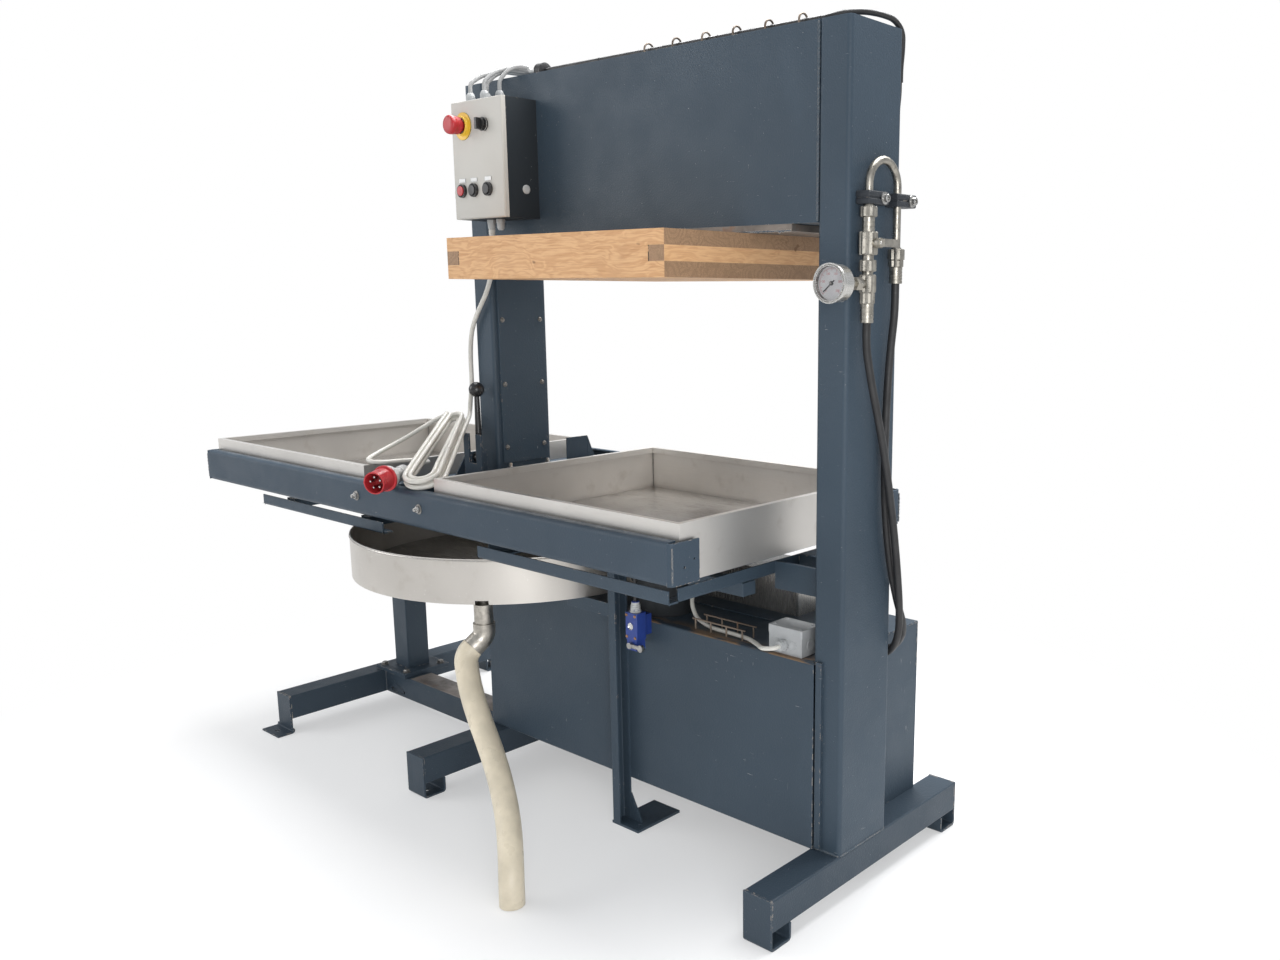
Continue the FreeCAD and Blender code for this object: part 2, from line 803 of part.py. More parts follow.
def make_swivel_bearing():
    """The turned bearing disc with its spigot, and the collar that keeps the hub down."""
    disc = ring(disc_radius, spigot_radius, (swivel_x, 0, disc_bottom), (0, 0, 1), disc_thickness)
    spigot = cylinder(spigot_radius, (swivel_x, 0, disc_bottom), (0, 0, 1),
                      collar_bottom - disc_bottom)
    for facing in (-1, 1):
        disc = disc.cut(cylinder(lock_pin_radius + 1, (swivel_x, facing * lock_radius, disc_bottom - 1),
                                 (0, 0, 1), disc_thickness + 2))
    spigot = spigot.cut(column_bar(0, overall_height))
    collar = cylinder(collar_radius, (swivel_x, 0, collar_bottom), (0, 0, 1), collar_thickness)
    for bx, by in collar_bolt_places():
        collar = collar.cut(cylinder(5.2, (bx, by, collar_bottom - 1), (0, 0, 1), collar_thickness + 2))
    return [disc, spigot, collar.cut(column_bar(0, overall_height))]


def collar_bolt_places():
    return [(swivel_x + sx * 50.0, sy * 58.0) for sx in (-1, 1) for sy in (-1, 1)]


hub_plate_half_y = 165.0
gutter_radius = 10.0
gutter_depth = 2 * gutter_radius + 4 + seat_gap
crossbeam_inner = spigot_radius + hub_wall
crossbeam_width = 26.5
crossbeam_height = 56.0
crossbeam_bottom = 697.0


def make_table_hub():
    """The hub ring that turns on the spigot, and the plate that ties it to the table."""
    z0 = disc_bottom + disc_thickness + seat_gap
    hub = cylinder(spigot_radius + hub_wall, (swivel_x, 0, z0), (0, 0, 1), hub_top - z0)
    plate = box(swivel_x - crossbeam_inner, swivel_x + crossbeam_inner, -hub_plate_half_y,
                hub_plate_half_y, hub_top - 20, hub_top - 8)
    bore = cylinder(spigot_radius + running_clearance, (swivel_x, 0, z0 - 1), (0, 0, 1), 200)
    lock = cylinder(lock_pin_radius + 0.2, (swivel_x, -lock_radius, z0 - 1), (0, 0, 1), 200)
    return hub.fuse(plate).cut(bore).cut(lock)


def make_table_crossbeams():
    """Two channels beside the hub and four flat bars that carry the trays."""
    solids = []
    reach = -table_front - rail_sheet
    for side in (-1, 1):
        def place(u, v, w):
            return (swivel_x + side * (crossbeam_inner + u), -reach + w, crossbeam_bottom + v)

        half = 2.0
        points = [(crossbeam_width - half, crossbeam_height - half), (half, crossbeam_height - half),
                  (half, half), (crossbeam_width - half, half)]
        channel = bent_sheet(points, 4.0, 2.0, 2 * reach, place)
        for facing in (-1, 1):
            near = facing * (reach - gutter_depth)
            far = facing * (reach + 1)
            channel = channel.cut(box(swivel_x - 200, swivel_x + 200, min(near, far), max(near, far),
                                      rail_bottom, rail_bottom + gutter_radius + 8))
        solids.append(channel)
        for x in (tray_inner_end + 20.0, tray_inner_end + tray_length - 50.0):
            x0 = swivel_x + side * x
            gutter = reach - gutter_depth
            solids.append(box(min(x0, x0 + side * 30), max(x0, x0 + side * 30), -gutter, gutter,
                              tray_floor - 8, tray_floor))
    return solids


rail_flange = 24.0
rail_bracket = 74.0


def rail_profile(facing, x0, length):
    """The rail's sheet: a top flange, the tall face, and a gutter rolled along the bottom."""
    half = rail_sheet / 2
    r = gutter_radius
    points = [(rail_flange, rail_top - half), (half, rail_top - half), (half, rail_bottom + half),
              (half + 2 * r + rail_sheet, rail_bottom + half), (half + 2 * r + rail_sheet, rail_bottom + r + 6)]

    def place(u, v, w):
        return (x0 + w, facing * (-table_front - u), v)

    return bent_sheet(points, rail_sheet, 8.0, length, place)


def rail_end(facing, side):
    """The rounded bracket welded on a rail's end, which stops the tray endways."""
    half = rail_sheet / 2
    end = table_length / 2

    def place(u, v, w):
        return (swivel_x + side * (end - u), facing * (-table_front - v), rail_bottom + 2 + w)

    points = [(12.0, half), (half, half), (half, rail_bracket)]
    bracket = bent_sheet(points, rail_sheet, 8.0, rail_height - 4, place)
    for dy, dz in ((34.0, 34.0), (60.0, 46.0)):
        hole = cylinder(2.5, (swivel_x + side * (end + 1), facing * (-table_front - dy), rail_bottom + dz),
                        (-side, 0, 0), 8)
        bracket = bracket.cut(hole)
    return bracket


def make_table_rails():
    """Two rails and their four rounded end brackets."""
    end = table_length / 2
    solids = []
    for facing in (-1, 1):
        rail = rail_profile(facing, swivel_x - end + 12.0, table_length - 24.0)
        solids.append(rail)
        for side in (-1, 1):
            solids.append(rail_end(facing, side))
    return solids


def make_rail_bolts():
    """The stainless bolts through the faces of both rails into the crossbeams."""
    solids = []
    for facing in (-1, 1):
        for side in (-1, 1):
            x = swivel_x + side * 130.0
            z = rail_bottom + 46.0
            y = facing * (-table_front)
            solids.append(hexagon(13.0, (x, y, z), (0, facing, 0), 8.0).fuse(
                cylinder(4.0, (x, y, z), (0, facing, 0), 14.0)))
    return solids


spout_x = 235.0
runner_height = 19.5
runner_width = 50.0
runner_start = 265.0
runner_end = 800.0


def make_tray(side):
    """A folded tray with a hollow rim and a short spout over the pan."""
    x0 = tray_inner_end
    x1 = tray_inner_end + tray_length
    y = tray_depth / 2
    z0 = tray_floor
    z1 = tray_floor + tray_height
    outer = box(x0, x1, -y, y, z0, z1)
    t = tray_sheet
    inner = box(x0 + t, x1 - t, -y + t, y - t, z0 + t, z1 + 1)
    walls = outer.cut(inner)
    rim = box(x0, x1, -y, y, z1 - 14, z1).cut(
        box(x0 + tray_rim, x1 - tray_rim, -y + tray_rim, y - tray_rim, z1 - 20, z1 + 1))
    hem = box(x0 + t, x1 - t, -y + t, y - t, z1 - 15, z1 - t).cut(
        box(x0 + tray_rim - t, x1 - tray_rim + t, -y + tray_rim - t, y - tray_rim + t, z1 - 20, z1 + 1))
    spout = ring(24.0, 22.0, (spout_x, 0, z0 - 24), (0, 0, 1), 26)
    tray = walls.fuse(rim).cut(hem).fuse(spout)
    tray = tray.cut(cylinder(22.0, (spout_x, 0, z0 - 30), (0, 0, 1), 40))
    for y0 in (-head_size / 4 - runner_width / 2, head_size / 4 - runner_width / 2):
        tray = tray.fuse(box(runner_start, runner_end, y0, y0 + runner_width, z0 - runner_height, z0))
    if side < 0:
        tray.rotate(V(0, 0, 0), V(0, 0, 1), 180)
    tray.translate(V(swivel_x, 0, 0))
    return tray


lever_x = swivel_x + 5.0
lever_y = -116.0
lever_z = 812.0
guard_y = -136.0
guard_sheet = 5.0
lever_hub_radius = 12.0
lever_hub_half = 13.0
cheek_gap = 0.5


def make_lever_bracket():
    """The slotted guard plate, its two cheeks and pin, and the gussets on the crossbeams."""
    x0 = lever_x - 35
    x1 = lever_x + 35
    plate = box(x0, x1, guard_y, guard_y + guard_sheet, hub_top - 8, 872)
    slot = box(lever_x - 14, lever_x + 14, guard_y - 1, guard_y + guard_sheet + 1, 800, 880)
    solid = plate.cut(slot)
    for side in (-1, 1):
        inner = lever_x + side * (lever_hub_half + cheek_gap)
        outer = inner + side * 5
        cheek = box(min(inner, outer), max(inner, outer), guard_y + guard_sheet, lever_y + 9,
                    hub_top, lever_z + 14)
        solid = solid.fuse(cheek)
    pin = cylinder(4.0, (lever_x - lever_hub_half - 5, lever_y, lever_z), (1, 0, 0),
                   2 * lever_hub_half + 10)
    solid = solid.fuse(pin)
    base = hub_top - 8
    web_x = lever_x - 62
    gusset = Part.Face(Part.makePolygon([
        V(web_x, guard_y + 26, base + 4), V(web_x, guard_y - 26, base + 4),
        V(web_x, guard_y + 26, base + 84), V(web_x, guard_y + 26, base + 4)])).extrude(V(4, 0, 0))
    foot = box(web_x - 26, web_x + 8, guard_y - 27, guard_y + 24, base, base + 4)
    top = crossbeam_bottom + crossbeam_height
    rear_x = swivel_x + crossbeam_inner + 2
    rear = box(rear_x, rear_x + 3, 62, 130, top, top + 100)
    rear_foot = box(rear_x, rear_x + 22, 62, 170, top, top + 4)
    rear_web = Part.Face(Part.makePolygon([
        V(rear_x, 130, top + 4), V(rear_x, 168, top + 4), V(rear_x, 130, top + 98),
        V(rear_x, 130, top + 4)])).extrude(V(4, 0, 0))
    return [solid, gusset.fuse(foot), rear.fuse(rear_foot).fuse(rear_web)]


ball_radius = 18.5
ball_height = 979.0


def make_lock_lever():
    """The lever: a bored hub, a tapered shaft and a ball knob."""
    hub = cylinder(lever_hub_radius, (lever_x - lever_hub_half, lever_y, lever_z), (1, 0, 0),
                   2 * lever_hub_half)
    shaft = Part.makeCone(8.5, 6.0, ball_height - lever_z - 6, V(lever_x, lever_y, lever_z + 6), V(0, 0, 1))
    body = hub.fuse(shaft).cut(cylinder(4.0 + running_clearance,
                                        (lever_x - 30, lever_y, lever_z), (1, 0, 0), 60))
    ball = Part.makeSphere(ball_radius, V(lever_x, lever_y, ball_height))
    return [body.cut(ball), ball]


bolt_travel = 12.0
lock_bolt_bottom = disc_bottom + disc_thickness + 1.5


def make_lock_bolt():
    """The bolt under the lever, which drops into the bearing disc's hole."""
    return cylinder(lock_pin_radius, (swivel_x, -lock_radius, lock_bolt_bottom), (0, 0, 1),
                    lever_z - 30 - lock_bolt_bottom)


# Control box and its door

box_front = -beam_depth / 2 - box_depth
box_x0 = swivel_x + box_left
box_x1 = box_x0 + box_width
box_top = box_bottom + box_height
door_gap = 0.5
door_plane = box_front
door_back = door_plane + door_thickness


hinge_radius = 4.0
hinge_offset = 4.5
hinge_y = door_back + 5.5
hinge_half = 17.0
hinge_gap = 0.4


def hinge_places():
    """The lower ends of the two hinges' fixed halves."""
    return [box_bottom + 30.0, box_top - 30.0 - 2 * hinge_half]


def make_control_box():
    """The steel box on the beam, open at the front behind its door."""
    outer = box(box_x0, box_x1, door_back + door_gap, -beam_depth / 2, box_bottom, box_top)
    inner = box(box_x0 + box_sheet, box_x1 - box_sheet, door_back, -beam_depth / 2 - box_sheet,
                box_bottom + box_sheet, box_top - box_sheet)
    shell = outer.cut(inner)
    for z in hinge_places():
        leaf = box(box_x0 - hinge_offset, box_x0, hinge_y - 1, hinge_y + 1, z, z + hinge_half)
        leaf = leaf.fuse(box(box_x0 - 1.5, box_x0, hinge_y - 1, hinge_y + 16, z, z + hinge_half))
        leaf = leaf.fuse(cylinder(hinge_radius, (box_x0 - hinge_offset, hinge_y, z), (0, 0, 1), hinge_half))
        shell = shell.fuse(leaf)
    plug = cylinder(9.0, (box_x1, box_front + 60, box_bottom + 62), (1, 0, 0), 2.0)
    return [shell, plug]


estop_place = (box_x0 + 45.0, box_top - 54.0)
selector_place = (box_x0 + 122.0, box_top - 56.0)
button_places = [(box_x0 + 33.0, box_bottom + 62.0), (box_x0 + 76.0, box_bottom + 62.0),
                 (box_x0 + 128.0, box_bottom + 62.0)]
button_radius = 11.0
bezel_radius = 14.8
bezel_height = 7.0


def on_door(place, radius, depth, length):
    """A round piece square to the door, which starts depth mm in front of it."""
    return cylinder(radius, (place[0], door_plane - depth, place[1]), (0, -1, 0), length)


def make_control_door():
    """The light grey door, a folded tray with holes for its five controls."""
    door = box(box_x0, box_x1, door_plane, door_back, box_bottom, box_top)
    door = door.makeFillet(4.0, [e for e in door.Edges if e.Vertexes[0].Y < door_plane + 0.1
                                 and e.Vertexes[-1].Y < door_plane + 0.1])
    hollow = box(box_x0 + 2, box_x1 - 2, door_plane + 2, door_back + 1, box_bottom + 2, box_top - 2)
    door = door.cut(hollow)
    for z in hinge_places():
        z0 = z + hinge_half + hinge_gap
        barrel = cylinder(hinge_radius, (box_x0 - hinge_offset, hinge_y, z0), (0, 0, 1), hinge_half)
        leaf = box(box_x0 - hinge_offset - 1, box_x0 - hinge_offset + 1, door_plane + 5, hinge_y, z0, z0 + hinge_half)
        tie = box(box_x0 - hinge_offset - 1, box_x0 + 1, door_plane + 5, door_plane + 7, z0, z0 + hinge_half)
        door = door.fuse(barrel).fuse(leaf).fuse(tie)
    for place in [estop_place, selector_place] + button_places:
        door = door.cut(cylinder(button_radius, (place[0], door_plane - 1, place[1]), (0, 1, 0), 4))
    return door


def make_door_fittings():
    """The yellow disc under the stop button, and the bezels round the other controls."""
    solids = [on_door(estop_place, 30.0, 0, 2.0).cut(on_door(estop_place, button_radius, 0, 3.0))]
    for place in [selector_place] + button_places:
        bezel = on_door(place, bezel_radius, 0, bezel_height)
        solids.append(bezel.cut(on_door(place, button_radius, 0, bezel_height + 1)))
    for place in button_places:
        solids.append(box(place[0] - 12, place[0] + 12, door_plane - 1.0, door_plane,
                          place[1] + 18, place[1] + 27))
    return solids


control_gap = 0.4


def make_estop():
    """The red mushroom head on its stem."""
    stem = on_door(estop_place, button_radius - control_gap, -8, 24.0)
    head = on_door(estop_place, 19.0, 16.0, 12.0)
    neck = Part.makeCone(13.0, 19.0, 5.0, V(estop_place[0], door_plane - 11.0, estop_place[1]), V(0, -1, 0))
    return stem.fuse(neck).fuse(head)


def make_selector():
    """The black rotary knob with its grip bar."""
    stem = on_door(selector_place, button_radius - control_gap, -8, 17.0)
    knob = on_door(selector_place, 12.5, bezel_height + control_gap, 6.0)
    grip = box(selector_place[0] - 3.5, selector_place[0] + 3.5, door_plane - 24.0, door_plane - 12.0,
               selector_place[1] - 12, selector_place[1] + 12)
    return stem.fuse(knob).fuse(grip)


def make_button(place):
    """A push button cap, sunk in its bezel."""
    return on_door(place, button_radius - control_gap, -6, 6 + bezel_height + 2.0)


gland_top_places = [(26.0, 58.5), (52.0, 32.5), (78.0, 58.5), (104.0, 36.5)]
gland_bottom_places = [(62.0, 42.5), (96.0, 42.5)]


def cable_gland(x, y, z, up):
    """A gland: a hexagon foot and a round dome nut."""
    foot = hexagon(20.0, (x, y, z), (0, 0, up), 7.0)
    nut = cylinder(8.5, (x, y, z), (0, 0, up), 24.0)
    return foot.fuse(nut)


def make_cable_glands():
    """The glands on top of and under the control box."""
    solids = []
    for dx, dy in gland_top_places:
        solids.append(cable_gland(box_x0 + dx, -beam_depth / 2 - dy, box_top, 1))
    for dx, dy in gland_bottom_places:
        solids.append(cable_gland(box_x0 + dx, -beam_depth / 2 - dy, box_bottom, -1))
    return solids


gland_length = 24.0
lane_gap = 10.0
bundle_radius = 6.0
beam_front = -beam_depth / 2
bundle_y = beam_front + 24.5
bundle_z = overall_height + bundle_radius + seat_gap
wire_radius = 3.5
wire_x = column_x + 24.0
wire_y = -column_front + wire_radius + seat_gap
gather_x = box_x0 + 112.0


def make_cables():
    """The cables that the press holds: from the box over the beam, and down the column's back."""
    solids = []
    for i, (dx, dy) in enumerate(gland_top_places):
        x = box_x0 + dx
        y = beam_front - dy
        z = box_top + gland_length
        lane = bundle_y + (1.5 - i) * lane_gap
        gap = lane - y
        route = [(x, y, z), (x, y, z + 20), (x + 7, y + 0.3 * gap, z + 42), (x + 22, y + 0.75 * gap, z + 54),
                 (x + 48, lane, bundle_z + 9), (gather_x + 44, lane, bundle_z), (gather_x + 62, lane, bundle_z)]
        solids.append(tube(route, cable_radius, f"box cable {i}"))
    start = gather_x + 62
    end = column_x - 48.0
    bundle = cylinder(4 * cable_radius, (start, bundle_y, bundle_z), (1, 0, 0), 18)
    bundle = bundle.common(box(start, start + 18, bundle_y - 40, bundle_y + 40,
                               overall_height + seat_gap, overall_height + 60))
    solids.append(bundle)
    solids.append(cylinder(bundle_radius, (start + 18, bundle_y, bundle_z), (1, 0, 0), end - start - 18))
    back_y = -column_front + bundle_radius + 2
    low = overall_height - 90
    over = [(end, bundle_y, bundle_z), (end + 16, bundle_y, bundle_z), (end + 38, bundle_y + 12, bundle_z + 6),
            (end + 57, bundle_y + 44, bundle_z + 12), (wire_x - 4, 24, bundle_z + 13),
            (wire_x, 66, bundle_z + 11), (wire_x, back_y + 5, bundle_z - 6), (wire_x, back_y + 5, bundle_z - 38),
            (wire_x, back_y, low + 25), (wire_x, back_y, low)]
    solids.append(tube(over, bundle_radius - 0.5, "bundle over the column"))
    down = [(wire_x, back_y, low), (wire_x, back_y, low - 20), (wire_x, wire_y, low - 50),
            (wire_x, wire_y, low - 70)]
    solids.append(tube(down, wire_radius, "wire start"))
    solids.append(cylinder(wire_radius, (wire_x, wire_y, low - 70), (0, 0, -1), low - 70 - 640))
    foot = [(wire_x, wire_y, 640), (wire_x, wire_y, 615), (wire_x - 18, wire_y + 10, 574),
            (wire_x - 48, wire_y + 22, 548), (wire_x - 66, wire_y + 28, 522),
            (wire_x - 66, wire_y + 28, deck_top + seat_gap)]
    solids.append(tube(foot, wire_radius, "wire foot"))
    switch_top = switch_z + switch_height + gland_length
    solids.append(cylinder(wire_radius, (switch_x, switch_y, switch_top), (0, 0, 1),
                           rest_bottom - angle_leg - switch_top))
    return solids


front_deck_top = panel_top - panel_sheet
deck_top = front_deck_top + deck_sheet
hoop_count = 6
hoop_pitch = 80.0
hoop_radius = 13.0
hoop_wire = 2.0


def make_cable_hoops():
    """The wire hoops on the beam's top that hold the bundle down."""
    solids = []
    for i in range(hoop_count):
        x = column_x - 90.0 - i * hoop_pitch
        base = overall_height
        left = V(x, bundle_y - hoop_radius, base)
        right = V(x, bundle_y + hoop_radius, base)
        rise = V(0, 0, 8)
        arc = Part.Arc(left + rise, V(x, bundle_y, base + 8 + hoop_radius), right + rise).toShape()
        wire = Part.Wire([Part.LineSegment(left, left + rise).toShape(), arc,
                          Part.LineSegment(right + rise, right).toShape()])
        profile = Part.Face(Part.Wire(Part.makeCircle(hoop_wire, left, V(0, 0, 1))))
        solids.append(wire.makePipe(profile))
    return solids


def make_deck_cable():
    """The pale cable from the junction box to the cylinder's collar."""
    w, d, h = junction_size
    start = (junction_x + 40, junction_y - d / 2 - 18, panel_top + 20)
    floor = front_deck_top + cable_radius + seat_gap
    end_x = press_x + barrel_radius + 10
    route = [start, (start[0], start[1] - 15, start[2]), (start[0] - 26, start[1] - 22, start[2] - 4),
             (start[0] - 62, start[1] + 6, floor + 9), (start[0] - 116, start[1] + 38, floor + 2.5),
             (start[0] - 172, start[1] + 46, floor + 0.4), (start[0] - 228, start[1] + 45, floor + 1.4),
             (start[0] - 276, start[1] + 52, floor + 12), (start[0] - 304, start[1] + 66, floor + 38),
             (start[0] - 318, start[1] + 90, floor + 64), (end_x + 14, 0, barrel_top - 15),
             (end_x, 0, barrel_top - 15)]
    return tube(route, cable_radius, "deck cable")


basket_length = 150.0
basket_width = 36.0
basket_offset = 16.0
basket_wire = 2.0


def make_cable_basket():
    """The wire basket on the deck that the pale cable lies in."""
    x0 = junction_x - 75 - basket_length
    y0 = junction_y - basket_offset
    z = front_deck_top + basket_wire
    solids = []
    for y in (y0, y0 + basket_width):
        solids.append(cylinder(basket_wire, (x0, y, z + 22), (1, 0, 0), basket_length))
    shape = solids[0].fuse(solids[1])
    for i in range(4):
        x = x0 + 8 + i * (basket_length - 16) / 3
        for y in (y0, y0 + basket_width):
            shape = shape.fuse(cylinder(basket_wire, (x, y, front_deck_top), (0, 0, 1), 24))
    return shape


# Limit switch on the casing's front

switch_x = press_x + 39.0
switch_y = panel_front - 36.0
switch_z = 465.0
switch_width = 36.0
switch_depth = 30.0
switch_height = 61.0
switch_head = 24.0
roller_radius = 8.0


def make_limit_switch():
    """The blue switch body, its pale head, its gland and the bracket to the casing."""
    w = switch_width / 2
    d = switch_depth / 2
    body = box(switch_x - w, switch_x + w, switch_y - d, switch_y + d, switch_z, switch_z + switch_height)
    body = body.makeFillet(3.0, [e for e in body.Edges if abs(e.Vertexes[0].Z - e.Vertexes[-1].Z) > 50])
    head = box(switch_x - w + 3, switch_x + w - 3, switch_y - d + 2, switch_y + d - 2,
               switch_z - switch_head, switch_z)
    gland = cable_gland(switch_x, switch_y, switch_z + switch_height, 1)
    plate = box(switch_x - 12, switch_x + 12, switch_y + d, panel_front, switch_z + 6, switch_z + 52)
    return [body, head, gland, plate]


def make_switch_lever():
    """The roller lever on the switch's head, which turns about the front-to-back axis."""
    y0 = switch_y - switch_depth / 2 + 2 - seat_gap
    z = switch_z - switch_head / 2
    hub = cylinder(7.0, (switch_x, y0, z), (0, -1, 0), 9.0)
    arm = box(switch_x, switch_x + 34, y0 - 7, y0 - 4, z - 4, z + 4)
    roller = cylinder(roller_radius, (switch_x + 34, y0 - 1, z), (0, -1, 0), 8.0)
    return hub.fuse(arm).fuse(roller)


# Hydraulics on the right column's outer side

face_x = column_x + column_width / 2
pipe_x = face_x + pipe_offset
left_leg_y = -49.0
right_leg_y = 43.0
bend_z = overall_height - 286.0
clamp_z = bend_z - 22.0
clamp_height = 24.0
left_nut_top = bend_z - 38.0
valve_top = bend_z - 82.0
valve_bottom = valve_top - 41.0
tee_top = valve_bottom - 35.0
tee_bottom = tee_top - 32.0
left_ferrule_bottom = tee_bottom - 54.0
right_nut_top = bend_z - 110.0
right_nut_bottom = right_nut_top - 20.0
right_ferrule_bottom = right_nut_bottom - 43.0
nut_flats = 27.0


def make_steel_pipe():
    """The bent steel pipe that joins the two hydraulic legs over the top."""
    bend = (right_leg_y - left_leg_y) / 2
    middle = (left_leg_y + right_leg_y) / 2
    a = V(pipe_x, left_leg_y, left_nut_top - 6)
    b = V(pipe_x, left_leg_y, bend_z)
    c = V(pipe_x, middle, bend_z + bend)
    d = V(pipe_x, right_leg_y, bend_z)
    e = V(pipe_x, right_leg_y, right_nut_top - 6)
    wire = Part.Wire([Part.LineSegment(a, b).toShape(), Part.Arc(b, c, d).toShape(),
                      Part.LineSegment(d, e).toShape()])
    profile = Part.Face(Part.Wire(Part.makeCircle(pipe_radius, a, V(0, 0, 1))))
    return wire.makePipe(profile)


def make_pipe_clamps():
    """Two clamp blocks on the column, each with a bright washer and bolt beside its leg."""
    solids = []
    for y in (left_leg_y, right_leg_y):
        block = box(face_x, pipe_x + 11, y - 14, y + 50, clamp_z - clamp_height / 2,
                    clamp_z + clamp_height / 2)
        upright = [e for e in block.Edges if abs(e.Vertexes[0].X - e.Vertexes[-1].X) > 20]
        block = block.makeFillet(5.0, upright)
        solids.append(block.cut(cylinder(pipe_radius, (pipe_x, y, clamp_z - 40), (0, 0, 1), 80)))
        bolt_y = y + 34
        solids.append(cylinder(11.0, (pipe_x + 11, bolt_y, clamp_z), (1, 0, 0), 2.0).fuse(
            hexagon(13.0, (pipe_x + 13, bolt_y, clamp_z), (1, 0, 0), 7.0)))
    return solids


gauge_radius = 35.0
gauge_depth = 30.0
gauge_y = left_leg_y - 102.0
gauge_z = (tee_top + tee_bottom) / 2
gauge_wall = 3.0
needle_gap = 1.0


def make_fittings():
    """Nuts, ball valve body, tee with the gauge's branch, and the hose ferrules."""
    way = cylinder(pipe_radius, (pipe_x, left_leg_y, left_nut_top - 6), (0, 0, 1), 30)
    column = hexagon(nut_flats, (pipe_x, left_leg_y, left_nut_top - 18), (0, 0, 1), 18)
    column = column.fuse(cylinder(11.0, (pipe_x, left_leg_y, valve_top), (0, 0, 1),
                                  left_nut_top - 18 - valve_top))
    column = column.fuse(hexagon(30.0, (pipe_x, left_leg_y, valve_bottom), (0, 0, 1),
                                 valve_top - valve_bottom))
    column = column.fuse(cylinder(10.0, (pipe_x, left_leg_y, tee_top), (0, 0, 1), valve_bottom - tee_top))
    column = column.fuse(hexagon(nut_flats, (pipe_x, left_leg_y, tee_top + 6), (0, 0, 1), 20))
    column = column.fuse(hexagon(nut_flats, (pipe_x, left_leg_y, tee_bottom), (0, 0, 1),
                                 tee_top - tee_bottom))
    column = column.fuse(hexagon(24.0, (pipe_x, left_leg_y, tee_bottom - 20), (0, 0, 1), 20))
    column = column.fuse(cylinder(12.0, (pipe_x, left_leg_y, left_ferrule_bottom), (0, 0, 1),
                                  tee_bottom - 20 - left_ferrule_bottom))
    branch = cylinder(8.0, (pipe_x, left_leg_y, gauge_z), (0, -1, 0),
                      left_leg_y - gauge_y - gauge_depth / 2)
    branch = branch.fuse(hexagon(22.0, (pipe_x, left_leg_y - 26, gauge_z), (0, -1, 0), 18))
    stem = cylinder(7.0, (pipe_x, left_leg_y, (valve_top + valve_bottom) / 2), (1, 0, 0), 21)
    left = column.fuse(branch).fuse(stem).cut(way)
    right = hexagon(nut_flats, (pipe_x, right_leg_y, right_nut_bottom), (0, 0, 1),
                    right_nut_top - right_nut_bottom)
    right = right.fuse(hexagon(24.0, (pipe_x, right_leg_y, right_nut_bottom - 13), (0, 0, 1), 13))
    right = right.fuse(cylinder(12.0, (pipe_x, right_leg_y, right_ferrule_bottom), (0, 0, 1),
                                right_nut_bottom - 13 - right_ferrule_bottom))
    right = right.cut(cylinder(pipe_radius, (pipe_x, right_leg_y, right_nut_top - 6), (0, 0, 1), 30))
    return [left, right]


handle_start = pipe_x + 21.0 + seat_gap
handle_length = 42.0


def make_valve_handle():
    """The ball valve's handle, a bent flat bar on the stem."""
    z = (valve_top + valve_bottom) / 2
    hub = cylinder(9.0, (handle_start, left_leg_y, z), (1, 0, 0), 8.0)
    end = face_x + hydraulics_reach
    bar = box(end - 6, end, left_leg_y - 6, left_leg_y + handle_length, z - 7, z + 7)
    neck = box(handle_start, end, left_leg_y - 6, left_leg_y + 6, z - 7, z + 7)
    return hub.fuse(bar).fuse(neck)


def make_gauge_case():
    """The gauge's steel case with its rolled bezel, open at the front."""
    back = gauge_y + gauge_depth / 2
    case = cylinder(gauge_radius - 2, (pipe_x, back, gauge_z), (0, -1, 0), gauge_depth)
    bezel = cylinder(gauge_radius, (pipe_x, gauge_y - gauge_depth / 2 + 7, gauge_z), (0, -1, 0), 7)
    hollow = cylinder(gauge_radius - 2 - gauge_wall, (pipe_x, back - 3, gauge_z), (0, -1, 0), gauge_depth)
    return case.fuse(bezel).cut(hollow)


def make_gauge_dial():
    """The dial plate and the pin that the needle turns on."""
    dial_y = gauge_y - gauge_depth / 2 + 11
    plate = cylinder(gauge_radius - 2 - gauge_wall, (pipe_x, dial_y, gauge_z), (0, -1, 0), 1.0)
    legs = cylinder(9.0, (pipe_x, dial_y, gauge_z), (0, 1, 0), gauge_y + gauge_depth / 2 - 3 - dial_y)
    pin = cylinder(1.2, (pipe_x, dial_y - 1, gauge_z), (0, -1, 0), 4.5)
    return plate.fuse(legs).fuse(pin)


def make_gauge_needle():
    """The black needle with its round boss."""
    y0 = gauge_y - gauge_depth / 2 + 11 - 1 - needle_gap
    boss = cylinder(4.0, (pipe_x, y0, gauge_z), (0, -1, 0), 1.6)
    pointer = box(pipe_x - 0.9, pipe_x + 0.9, y0 - 1.2, y0, gauge_z - 8, gauge_z + 23)
    needle = boss.fuse(pointer).cut(cylinder(1.2 + running_clearance, (pipe_x, y0 + 1, gauge_z),
                                             (0, -1, 0), 6))
    needle.rotate(V(pipe_x, y0, gauge_z), V(0, 1, 0), -130)
    return needle


def make_gauge_glass():
    """The gauge's window, seated behind the bezel's front edge."""
    front = gauge_y - gauge_depth / 2 + 1
    return cylinder(gauge_radius - 2 - gauge_wall, (pipe_x, front + 2.5, gauge_z), (0, -1, 0), 2.5)


